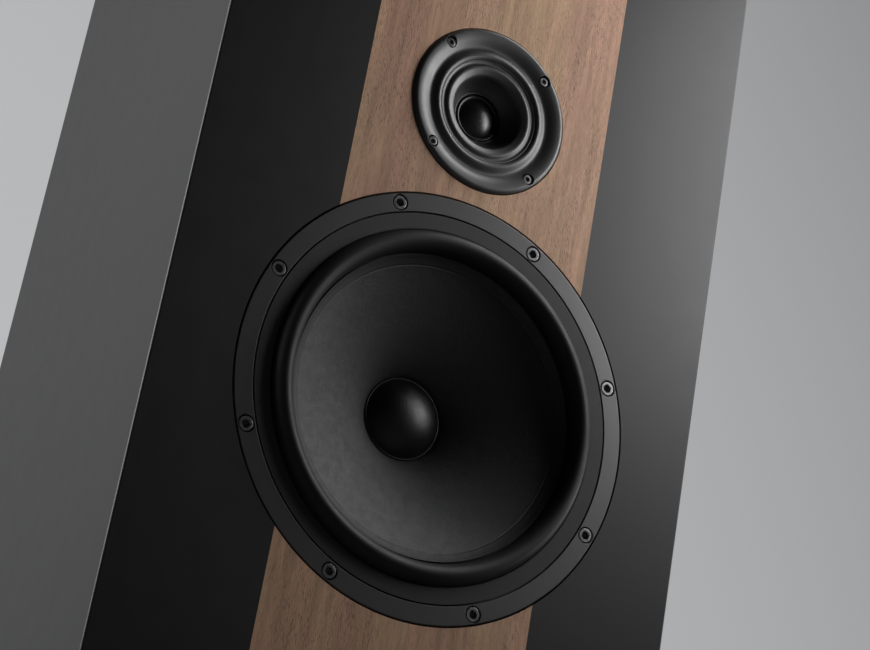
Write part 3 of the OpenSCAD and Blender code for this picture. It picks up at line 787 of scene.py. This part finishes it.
def make_flange():
    """The frame: its flange with eight counterbores, and the spoked basket behind it."""
    outline = rounded([
        (FLANGE_R, 0, 0.7), (FLANGE_R, 9, 0.4), (119, 9, 0), (119, 12, 0), (74, 62, 0), (74, 80, 1),
        (46, 80, 0.6), (46, 75, 0.6), (61, 75, 1), (61, 62, 0.6), (69, 62, 0.8), (113, 12.5, 2),
        (117.5, 7.5, 1), (117.5, 3.6, 0), (GROOVE_R, 3.6, 0), (GROOVE_R, 0, 0.3)])
    flange = turned("woofer_frame_casting", outline, WOOFER, 256)
    windows = [basket_window(math.radians(45 * i + 45)) for i in range(8)]
    cut(flange, windows + counterbores(WOOFER, 8, BOLT_TURN, BOLT_R, 5.5, 6.4, 0.0, -0.5))
    finish_piece(flange, "woofer_frame")


def roll_outline():
    """Front and back of the half roll, its outer lip, and the lip glued behind the cone."""
    mid, half = (ROLL_IN + ROLL_OUT) / 2, (ROLL_OUT - ROLL_IN) / 2
    front = arc((mid, ROLL_BASE), half, -ROLL_RISE, 0, 180, 48)
    back = arc((mid, ROLL_BASE), half - RUBBER, RUBBER - ROLL_RISE, 180, 0, 48)
    under = [(r, d + CONE_T + 0.3) for r, d in smooth(CONE_KNOTS, 8) if r >= 95]
    foot = smooth([(ROLL_IN, ROLL_BASE), (ROLL_IN - 0.05, ROLL_BASE + 0.8), (ROLL_IN - 0.6, ROLL_BASE + 1.25),
                   under[0]], 4)
    heel = smooth([(under[0][0], under[0][1] + 0.8), (ROLL_IN + 0.5, ROLL_BASE + 2.0),
                   (ROLL_IN + RUBBER, ROLL_BASE)], 4)
    outer = [(GROOVE_R - 2.4, ROLL_BASE + 0.6), (GROOVE_R - 2.4, ROLL_BASE + 0.02)]
    return (outer + front + foot[1:-1] + under + [(r, d + 0.8) for r, d in reversed(under)]
            + heel[1:-1] + back + [(ROLL_OUT - RUBBER, ROLL_BASE + 0.6)])


def bend_with(piece):
    """Bakes the piece's placement into its mesh. The piece spans from a moving body at its inner radius to
    the cabinet at its outer one, and is put on no body.
    """
    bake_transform(piece)


def make_surround():
    piece = turned("woofer_surround_rubber", roll_outline(), WOOFER, 256, 60)
    finish_piece(piece, "woofer_surround", ride=False)
    bend_with(piece)


def make_gasket():
    outline = rounded([(ROLL_OUT + 0.1, 0, 1.2), (GROOVE_R - 1, 0, 0.25), (GROOVE_R - 1, ROLL_BASE, 0),
                       (ROLL_OUT + 0.1, ROLL_BASE, 0)], 8)
    finish_piece(turned("gasket_ring_rubber", outline, WOOFER, 256, 60), "woofer_gasket_ring")


def make_cone():
    """The paper cone, with a pressed line where the surround's lip ends behind it."""
    front = []
    for r, d in smooth(CONE_KNOTS, 32):
        front.append((r, d + 0.4 * math.exp(-((r - 95.4) / 0.35) ** 2)))
    back = [(r, d + CONE_T) for r, d in smooth(CONE_KNOTS, 6) if r > 28]
    neck = [(25.1, 50.6), (25.1, 54), (26, 54), (26.2, 52)]
    outline = front + neck + back[::-1]
    finish_piece(turned("cone_paper_body", outline, WOOFER, 256, 60), "woofer_cone")


def cap_outline(radius, rim, rise, thick, steps):
    """A domed cap: its outside, then its inside."""
    big = (radius * radius + rise * rise) / (2 * rise)
    reach = math.degrees(math.asin(radius / big))
    centre = (0, rim - rise + big)
    outside = arc(centre, big, big, -90, reach - 90, steps)
    inside = arc(centre, big - thick, big - thick, reach - 91.5, -90, steps)
    outside[0], inside[-1] = (0, outside[0][1]), (0, inside[-1][1])
    return outside, inside


def make_dust_cap():
    outside, inside = cap_outline(CAP_R, CAP_DEPTH, CAP_RISE, 0.9, 36)
    edge = [(CAP_R + 0.5, CAP_DEPTH + 0.4), (CAP_R - 0.3, CAP_DEPTH + 0.8)]
    piece = turned("dust_cap_dome", outside + edge + inside, WOOFER, 192, 60)
    finish_piece(piece, "woofer_dust_cap")


def make_glue_bead():
    """A thin line of glue round the cap's rim."""
    outline = arc((CAP_R + 0.55, CAP_DEPTH + 0.35), 0.55, 0.45, 0, 330, 11)
    bead = turned("cap_glue_bead", outline, WOOFER, 192, 60)
    bead.data.materials.append(surface("glue", (500, 2), (0.010, 0.010, 0.010), (0.016, 0.016, 0.016),
                                       None, (900, 2), 0.03, Roughness=0.3))
    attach(bead, "woofer_diaphragm")


def make_woofer():
    make_flange()
    make_gasket()
    make_surround()
    make_cone()
    make_dust_cap()
    make_glue_bead()
    make_screws("woofer_socket_screws", "woofer_screws", WOOFER, 8, BOLT_TURN, BOLT_R,
                (5.0, 6.0, 0.4, 3.0, 23.4, 5.0))


# ---------- tweeter ----------

PLATE_R = radius_of("tweeter_faceplate")
T_BOLT_R = 53.1
FACE_KNOTS = [(59, 0.3), (58.5, -0.9), (57.6, -1.85), (56.4, -2.3), (55, -2.3), (53, -2), (51, -1.4),
              (49, -0.55), (47.2, 0.3), (46, 0.7), (45, 0.8), (44.2, 0.65), (43.3, 0.3), (41.2, -0.75),
              (40.2, -1.15), (39.3, -1.25), (38.4, -1), (37.6, -0.5), (35.9, 0.6), (35.1, 1), (34.4, 1.1),
              (33.7, 0.95), (32.6, 0.4), (31.9, 0.15), (31.2, 0.05), (30.3, 0.2), (29.3, 0.6), (27.2, 1.6),
              (26.3, 2.3), (25.4, 3.7), (24, 6.6), (21.6, 10.5), (18.8, 13.8), (17.2, 15.5)]
DOME_R, DOME_BASE, DOME_RISE = 13.9, 16.5, 4.4


def make_faceplate():
    face = [(r, d + 0.4 * math.exp(-((r - 36.8) / 0.3) ** 2) - 0.45 * math.exp(-((r - 17.5) / 0.28) ** 2))
            for r, d in smooth(FACE_KNOTS, 10)]
    outline = [(PLATE_R, 5)] + face + [(17.2, 16.2), (31, 16.2), (36, 5)]
    plate = turned("tweeter_plate_moulding", outline, TWEETER, 256, 50)
    cut(plate, counterbores(TWEETER, 4, 45, T_BOLT_R, 4.15, 3.1, -2.2), 40)
    finish_piece(plate, "tweeter_faceplate")


def make_dome():
    outside, inside = cap_outline(DOME_R, DOME_BASE, DOME_RISE, 0.35, 28)
    edge = [(DOME_R, DOME_BASE + 1), (DOME_R - 0.35, DOME_BASE + 1)]
    finish_piece(turned("dome_membrane", outside + edge + inside, TWEETER, 128, 60), "tweeter_dome")


def make_dome_surround():
    """A half roll whose inner lip closes the gap in front of the coil, up to the dome's rim."""
    mid, half, rise = 15.6, 1.3, 1.2
    base = DOME_BASE - 0.28
    lip = [(DOME_R, base), (DOME_R, base + 0.26)]
    front = arc((mid, base), half, -rise, 0, 180, 20)
    back = arc((mid, base + 0.26), half - 0.3, -(rise - 0.05), 180, 0, 20)
    outline = [(19.4, base + 0.26), (19.4, base)] + front + lip + back + [(mid + half, base + 0.26)]
    piece = turned("dome_surround_roll", outline, TWEETER, 128, 60)
    finish_piece(piece, "tweeter_surround", ride=False)
    bend_with(piece)


def make_tweeter():
    make_faceplate()
    make_dome()
    make_dome_surround()
    make_screws("tweeter_socket_screws", "tweeter_screws", TWEETER, 4, 45, T_BOLT_R,
                (3.5, 4.0, -0.9, 2.0, 22.0, 3.0))


# ---------- drive units behind the baffle ----------


def turned_node(node, outline, centre, steps=128, sharp=32):
    finish_piece(turned(node + "_turned", outline, centre, steps, sharp), node)


def winding(inner, outer, start, end, pitch=0.5):
    """Outline of a wound coil, with the turns of wire showing on its outside."""
    outside = []
    turns = max(2, round((end - start) / pitch))
    for i in range(turns):
        for t in (0.0, 0.25, 0.5, 0.75):
            outside.append((outer - 0.28 * pitch + 0.28 * pitch * math.sin(math.pi * t),
                            start + (i + t) * (end - start) / turns))
    return [(inner, start)] + outside + [(outer - 0.28 * pitch, end), (inner, end)]


def make_spider():
    """The corrugated cloth that centres the coil, from the former out to the frame's ledge."""
    def line(depth):
        points = [(25.3, depth), (27, depth)]
        for i in range(145):
            t = i / 144
            points.append((28.3 + 32 * t, depth - 1.4 * math.sin(2 * math.pi * 6 * t)))
        return points + [(62, depth), (68, depth)]
    piece = turned("woofer_spider_cloth", line(61.4) + line(61.98)[::-1], WOOFER, 192, 60)
    finish_piece(piece, "woofer_spider", ride=False)
    bend_with(piece)


def make_tinsel_leads():
    """Two braided leads from the cone's neck to the tags on the frame."""
    depth, height = FRONT / MM, WOOFER[1] / MM
    meshes = []
    for s in (-1, 1):
        route = [(s * 8, depth + 52.4, height - 29), (s * 9, depth + 55, height - 38),
                 (s * 9, depth + 53, height - 58), (s * 8, depth + 44, height - 76),
                 (s * 7, depth + 41, height - 86)]
        meshes.append(tube_mesh(route, 0.8, 16))
    piece = finish_piece(joined("tinsel_leads_braid", meshes, 60), "woofer_tinsel_leads", ride=False)
    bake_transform(piece)


def ring(inner, outer, start, end, inner_edge, outer_edge):
    """Outline of a plain ring between two depths, with its two fillets."""
    return rounded([(inner, start, inner_edge), (outer, start, outer_edge), (outer, end, outer_edge),
                    (inner, end, inner_edge)])


def make_motors():
    turned_node("woofer_coil_former", [(24.7, 50), (25, 50), (25, 92), (24.7, 92)], WOOFER)
    turned_node("woofer_voice_coil", winding(25.02, 26, 76, 92), WOOFER, sharp=70)
    turned_node("woofer_front_plate", ring(26.6, 66, 80, 88, 0.4, 0.8), WOOFER)
    turned_node("woofer_magnet", ring(36, 72, 88, 108, 1, 1.2), WOOFER, 160)
    turned_node("woofer_back_plate", rounded([
        (10, 78, 0.6), (24.2, 78, 0.8), (24.2, 108, 0), (66, 108, 0.8), (66, 115.5, 1), (62, 118, 1),
        (14, 118, 2), (10, 113, 1)]), WOOFER, 160)
    former = [(14.1, 22.9), (14.1, 23.3), (13.92, 23.3), (13.92, 16.9), (14.1, 16.9), (14.1, 19.0)]
    wire = [(14.12, 19.0)] + winding(14.12, 14.5, 19.0, 22.9, 0.3)[1:-1]
    turned_node("tweeter_voice_coil", former[3:] + wire + former[:3], TWEETER, sharp=70)
    turned_node("tweeter_mounting_ring", ring(17.6, 30, 16.5, 19.2, 0.2, 0.4), TWEETER)
    turned_node("tweeter_front_plate", ring(14.9, 36, 19.2, 22.7, 0.2, 0.5), TWEETER)
    turned_node("tweeter_magnet", ring(18, 36, 22.7, 32.7, 0.6, 0.8), TWEETER)
    turned_node("tweeter_back_plate", rounded([
        (4, 19.5, 0.4), (13.3, 19.5, 0.4), (13.3, 32.7, 0), (34, 32.7, 0.6), (34, 37.7, 0.8),
        (4, 37.7, 0.4)]), TWEETER)
    turned_node("tweeter_rear_chamber", rounded([
        (0, 55.7, 0), (30, 55.7, 2.5), (30, 37.7, 0.3), (27.5, 37.7, 0.3), (27.5, 53.2, 1.5),
        (0, 53.2, 0)]), TWEETER)


# ---------- rear fittings ----------

PORT = (0.0, middle("reflex_port_flare").z)
PORT_R = 35.0
CUP = (0.0, middle("terminal_cup").z)
POST_X = abs(middle("red_post_stem").x)
SCREW_SIZE = (3.0, 1.4, 0.3, 1.5, 14.0, 2.0)
KNOB_R, KNOB_BORE, KNOB_CORE, KNOB_DEPTH = 8.5, 4.06, 6.0, 9.6
FLUTES, FLUTE_R, FLUTE_REACH, FLUTE_END = 12, 1.5, 9.2, 16.0


def rear_block(name, half_x, half_z, start, end, rounded_edge=never, radius=1.0):
    """A box centred on the cup, between two depths forwards of the rear face."""
    x, z = CUP
    return block(name, Vector((x - half_x * MM, REAR - end * MM, z - half_z * MM)),
                 Vector((x + half_x * MM, REAR - start * MM, z + half_z * MM)), rounded_edge, radius)


def along_depth(a, b):
    """Does an edge, given by its two ends, run from front to back?"""
    return abs(a.x - b.x) < 1e-6 and abs(a.z - b.z) < 1e-6


def rear_screws(name, node, places):
    meshes = []
    for x, z in places:
        mesh = screw_mesh(*SCREW_SIZE, turn=random.uniform(0, math.pi / 3))
        meshes.append(facing_back(mesh, (x, z)))
    finish_piece(joined(name, meshes), node)


def screw_holes(places):
    outline = [(0, -5), (3.5, -5), (3.5, 0), (3.2, 0.3), (3.2, 1.8), (0, 1.8)]
    return [turned_rear("screw_hole", outline, place, 48) for place in places]


def cup_corners():
    return [(CUP[0] + x * 55 * MM, CUP[1] + z * 40 * MM) for x in (-1, 1) for z in (-1, 1)]


def make_rear_panel():
    low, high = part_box("rear_panel")
    rear = block("rear_panel_shell", low, high,
                 lambda a, b: abs(a.y - high.y) < 1e-5 and abs(b.y - high.y) < 1e-5, 0.7)
    cut(rear, [
        turned_rear("seat", plug(57.3, -5, 3), PORT, 192),
        turned_rear("way", plug(48, 1, 30), PORT, 192),
        rear_block("seat", 62.3, 47.3, -5, 3),
        rear_block("way", 50.5, 35.5, 1, 30),
    ], 50)
    finish_piece(rear, "rear_panel")


def make_port():
    outline = ([(PORT_R, 30)] + arc((PORT_R + 12, 14), 12, 14, 180, 270, 36) + arc((56, 1), 1, 1, -90, 0, 6)
               + [(57, 3), (47, 3), (PORT_R + 2.5, 14), (PORT_R + 2.5, 30)])
    places = list(around(PORT, 4, 45, 52))
    flare = turned_rear("port_flare_moulding", outline, PORT, 192, 50)
    finish_piece(cut(flare, screw_holes(places), 50), "reflex_port_flare")
    rear_screws("port_flare_screws", "port_screws", places)
    outline = ([(PORT_R, 30.1), (PORT_R + 2.5, 30.1), (PORT_R + 2.5, 128)]
               + arc((PORT_R + 10, 128), 7.5, 9.5, 180, 90, 16)
               + arc((PORT_R + 10, 128), 10, 12, 90, 180, 20))
    finish_piece(turned_rear("port_tube_moulding", outline, PORT, 160, 50), "reflex_port_tube")


def make_terminal_cup():
    def on_flange(a, b):
        return along_depth(a, b) or (abs(a.y - REAR) < 1e-6 and abs(b.y - REAR) < 1e-6)

    def on_body(a, b):
        return along_depth(a, b) or a.y + b.y < 2 * REAR - 0.05

    flange = rear_block("cup_moulding", 62, 47, 0, 3, on_flange, 1.2)
    combine(flange, "UNION", [rear_block("cup_body", 50, 35, 0.5, 38, on_body, 2)])
    cutters = [rear_block("cavity", 47.5, 32.5, -6, 35, always, 3)] + screw_holes(cup_corners())
    for side in (-1, 1):
        cutters.append(turned_rear("post_hole", plug(4.05, 30, 45), (side * POST_X, CUP[1]), 48))
    cut(flange, cutters, 45)
    finish_piece(flange, "terminal_cup")
    rear_screws("cup_corner_screws", "terminal_cup_screws", cup_corners())


def fluted_mesh(outline):
    """A turned grip with round flutes along it, as far as the depth FLUTE_END."""
    mesh = turned_mesh(outline, 240)
    for v in mesh.vertices:
        radius = math.hypot(v.co.x, v.co.z) / MM
        if v.co.y / MM > FLUTE_END or radius < KNOB_CORE:
            continue
        angle = math.atan2(v.co.z, v.co.x)
        off = ((angle * FLUTES / (2 * math.pi) + 0.5) % 1 - 0.5) * 2 * math.pi / FLUTES
        side = FLUTE_REACH * math.sin(off)
        if abs(side) < FLUTE_R:
            wall = FLUTE_REACH * math.cos(off) - math.sqrt(FLUTE_R * FLUTE_R - side * side)
            shrink = min(1.0, wall / radius)
            v.co.x *= shrink
            v.co.z *= shrink
    return mesh


def make_posts():
    """Binding posts: threaded stem, washer and a fluted knob that runs along the stem."""
    for colour, side in (("red", -1), ("black", 1)):
        place = (side * POST_X, CUP[1])
        thread = [(4 - 0.3 * (k % 2), 6.6 + 0.4 * k) for k in range(65)]
        stem = [(0, 26), (2, 26), (2, 6.5), (2.4, 6), (3.5, 6)] + thread + [
            (4, 32.5), (6.7, 32.5), (7, 32.8), (7, 35), (4, 35), (4, 49.5), (3.5, 50), (0, 50)]
        finish_piece(turned_rear(colour + "_stem_turned", stem, place, 64, 50), colour + "_post_stem")
        washer = ring(KNOB_BORE, 6.8, 30.95, 32.45, 0.2, 0.3)
        finish_piece(turned_rear(colour + "_washer_turned", washer, place, 96), colour + "_post_washer")
        knob = rounded([(KNOB_BORE, 0.8, 0.2), (5.4, 0, 0.3), (KNOB_R, 0, 0.9), (KNOB_R, 17, 0.3),
                        (7, 18, 0.3), (7, 21, 0.3), (KNOB_BORE, 21, 0.1)], 6)
        rim = 3 * 7   # the points of the first three corners, before the grip's straight side
        grip = [(KNOB_R, 1.6 + 0.75 * k) for k in range(20)]
        mesh = facing_back(fluted_mesh(knob[:rim] + grip + knob[rim:]), place, KNOB_DEPTH)
        finish_piece(link(colour + "_knob_fluted", mesh, 40), colour + "_post_knob")


# ---------- feet ----------


def make_feet():
    low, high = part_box("rubber_feet")
    pads, screws = [], []
    pad = rounded([(6, 0, 0.5), (18, 0, 1.2), (20, 12, 0.4), (2.3, 12, 0), (2.3, 5, 0), (6, 5, 0)])
    for x in (low.x + 0.02, high.x - 0.02):
        for y in (low.y + 0.02, high.y - 0.02):
            pads.append(standing(turned_mesh(pad, 96), (x, y, 0)))
            screw = screw_mesh(4.5, 3.0, 2.0, 2.0, 20.0, 3.0, random.uniform(0, math.pi / 3))
            screws.append(standing(screw, (x, y, 0)))
    finish_piece(joined("moulded_feet", pads), "rubber_feet")
    finish_piece(joined("foot_fixings", screws), "foot_screws")


# ---------- crossover, wires and wadding ----------

BOARD_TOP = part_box("crossover_board")[1].z / MM
BOARD_Y = middle("crossover_board").y / MM
WIRE_R = 1.6


def upright_coil(x, y, inner, outer, height):
    mesh = turned_mesh(winding(inner, outer, 0, height, 1.2), 96)
    return standing(mesh, (x * MM, (BOARD_Y + y) * MM, BOARD_TOP * MM))


def lying_can(x, y, radius, length):
    mesh = turned_mesh(rounded([(0, 0, 0), (radius, 0, 1.5), (radius, length, 1.5), (0, length, 0)]), 64)
    mesh.transform(Matrix.Translation(((x - length / 2) * MM, (BOARD_Y + y) * MM, (BOARD_TOP + radius) * MM))
                   @ Matrix.Rotation(-math.pi / 2, 4, "Z"))
    return mesh


def make_crossover():
    coils = [upright_coil(-48, 20, 12, 27, 24), upright_coil(-48, -37, 7, 14, 14),
             upright_coil(56, 30, 8, 17, 16)]
    finish_piece(joined("wound_coils", coils, 70), "crossover_coils")
    cans = [lying_can(12, -34, 13, 52), lying_can(8, -6, 10, 40), lying_can(10, 16, 8, 34)]
    finish_piece(joined("film_capacitors", cans), "crossover_capacitors")
    bars = []
    for y in (-37, -22, -7):
        low = Vector((48, BOARD_Y + y - 4.5, BOARD_TOP)) * MM
        bar = block("bar", low, low + Vector((30, 9, 9)) * MM, always, 0.8)
        bars.append(bar.data)
        bpy.data.objects.remove(bar)
    finish_piece(joined("ceramic_resistors", bars, 50), "crossover_resistors")


def make_wires():
    """Routes in millimetres: from the posts to the board, and from the board to each driver."""
    to_board = [(19, 124.5, 107), (19, 124, 97), (24, 120, 70), (30, 110, 48), (34, 98, 43)]
    to_woofer = [(44, -9, 42), (48, -22, 52), (40, -50, 90), (20, -86, 118)]
    to_tweeter = [(-78, 10, 42), (-96, 2, 60), (-120, 10, 160), (-122, 14, 300), (-112, 10, 400),
                  (-70, -40, 424), (-24, -108, 424)]
    runs = {"input_wires": [], "woofer_wires": [], "tweeter_wires": []}
    for s in (-1, 1):
        runs["input_wires"].append([(s * x, y, z) for x, y, z in to_board])
        runs["woofer_wires"].append([(x + 3 * s, y, z) for x, y, z in to_woofer]
                                    + [(7 * s + 2, -112, 127), (7 * s, -119.5, 131)])
        runs["tweeter_wires"].append([(x, y + 2.4 * s, z) for x, y, z in to_tweeter] + [(8 * s, -124.3, 414)])
    for node, routes in runs.items():
        finish_piece(joined(node + "_jacket", [tube_mesh(r, WIRE_R) for r in routes], 60), node)


def make_wadding():
    """Soft mats on the side walls, lumpy and rounded at their edges."""
    low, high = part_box("damping_wadding")
    shelf_low, shelf_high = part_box("window_brace")
    meshes = []
    for x0, x1 in ((low.x, low.x + 0.020), (high.x - 0.020, high.x)):
        for z0, z1 in ((low.z, shelf_low.z - 0.010), (shelf_high.z + 0.010, high.z)):
            work = bmesh.new()
            bmesh.ops.create_cube(work, size=2)
            bmesh.ops.subdivide_edges(work, edges=work.edges, cuts=31, use_grid_fill=True)
            half = Vector((x1 - x0, high.y - low.y, z1 - z0)) / 2
            centre = Vector((x0 + x1, low.y + high.y, z0 + z1)) / 2
            for v in work.verts:
                edge = max(abs(v.co.y), abs(v.co.z))
                slim = math.sqrt(max(0.0, 1 - max(0.0, (edge - 0.93) / 0.07) ** 2 * 0.75))
                place = Vector((v.co.x * half.x * slim, v.co.y * half.y, v.co.z * half.z)) + centre
                swell = noise.fractal(place * 42, 0.8, 2.1, 4) * 0.0022 + noise.noise(place * 12) * 0.0018
                inwards = math.copysign(1, v.co.x) * abs(swell) if abs(v.co.x) > 0.9 else 0
                v.co = place - Vector((inwards, 0, 0))
            meshes.append(mesh_of(work, "mat"))
    finish_piece(joined("wadding_mats", meshes, 70), "damping_wadding")


# ---------- the CAD pieces that stay ----------


def paint_nodes():
    for name, node in frame["nodes"].items():
        node.data.materials.clear()
        node.data.materials.append(MATERIALS[SLOT_OF[name]])
        node.data.polygons.foreach_set("use_smooth", [True] * len(node.data.polygons))
        node.data.set_sharp_from_angle(angle=math.radians(32))


# ---------- stage and light ----------


def matt(name, dark, light):
    p = Paint(name, Roughness=0.7)
    p.coloured(p.noise(3, 3), dark, light)
    return p.material


def make_stage():
    """A plain pale floor, and a plinth no wider than the speaker for it to stand on."""
    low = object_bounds()[0]
    drop = 1.7
    bpy.ops.mesh.primitive_plane_add(size=30, location=(0, 0, low.z - drop))
    floor = bpy.context.object
    floor.name = "floor"
    plinth = block("plinth", Vector((CABINET_LOW.x + 0.01, FRONT + 0.01, low.z - drop)),
                   Vector((CABINET_HIGH.x - 0.01, REAR - 0.01, low.z)), always, 4)
    floor.data.materials.append(matt("floor", (0.72, 0.72, 0.71), (0.78, 0.78, 0.77)))
    plinth.data.materials.append(matt("plinth", (0.30, 0.30, 0.30), (0.34, 0.34, 0.34)))


def area_light(name, place, target, size, power, spread=180):
    data = bpy.data.lights.new(name, "AREA")
    data.shape = "RECTANGLE"
    data.size, data.size_y = size
    data.energy = power
    data.spread = math.radians(spread)
    lamp = bpy.data.objects.new(name, data)
    lamp.location = place
    lamp.rotation_euler = (Vector(target) - Vector(place)).to_track_quat("-Z", "Y").to_euler()
    bpy.context.scene.collection.objects.link(lamp)


def make_world():
    """Soft surroundings: dark in front of the speaker, pale behind it."""
    world = bpy.data.worlds.new("world")
    world.use_nodes = True
    tree = world.node_tree
    surroundings = tree.nodes["Background"]
    apart = tree.nodes.new("ShaderNodeSeparateXYZ")
    both = tree.nodes.new("ShaderNodeMath")
    both.operation = "MAXIMUM"
    tree.links.new(tree.nodes.new("ShaderNodeTexCoord").outputs["Generated"], apart.inputs[0])
    # brightness behind the speaker, then at the horizon: from, to, and the values at both
    ranges = (("Y", (0.35, 0.95, 0.004, 0.5)), ("Z", (0.0, 0.35, 0.06, 0.0)))
    for i, (axis, limits) in enumerate(ranges):
        fade = tree.nodes.new("ShaderNodeMapRange")
        fade.interpolation_type = "SMOOTHSTEP"
        for socket, value in zip(fade.inputs[1:5], limits):
            socket.default_value = value
        tree.links.new(apart.outputs[axis], fade.inputs[0])
        tree.links.new(fade.outputs[0], both.inputs[i])
    tree.links.new(both.outputs[0], surroundings.inputs[1])
    surroundings.inputs[0].default_value = (0.97, 0.98, 1.0, 1)
    bpy.context.scene.world = world


def make_lights():
    heart = (0, FRONT, 0.35)
    tall = (0.3, 0.36)
    # four soft lights to the right of the baffle, two of which only graze it
    area_light("graze_low", (1.2, FRONT - 0.04, 0.30), heart, tall, 3.6)
    area_light("graze_high", (0.42, FRONT - 0.04, 1.05), (0, FRONT, 0.575), tall, 3.7)
    area_light("near", (0.42, FRONT - 0.22, 0.65), (0, FRONT, 0.455), tall, 2.4)
    area_light("wide", (0.75, FRONT - 0.5, 0.62), (0, FRONT, 0.455), tall, 2.2)
    # two behind it, for the sides and the back
    area_light("rear_left", (-1.6, REAR + 0.1, 0.8), (-0.1, REAR - 0.1, 0.36), (0.8, 1.0), 9, spread=75)
    area_light("rear_right", (1.0, REAR + 1.6, 0.8), (0.1, REAR, 0.36), (0.8, 1.0), 26, spread=75)
    make_world()
    bpy.context.scene.view_settings.view_transform = "Standard"


make_camera()
paint_nodes()
make_cabinet()
make_woofer()
make_tweeter()
make_spider()
make_tinsel_leads()
make_motors()
make_port()
make_terminal_cup()
make_posts()
make_feet()
make_crossover()
make_wires()
make_wadding()
make_stage()
make_lights()
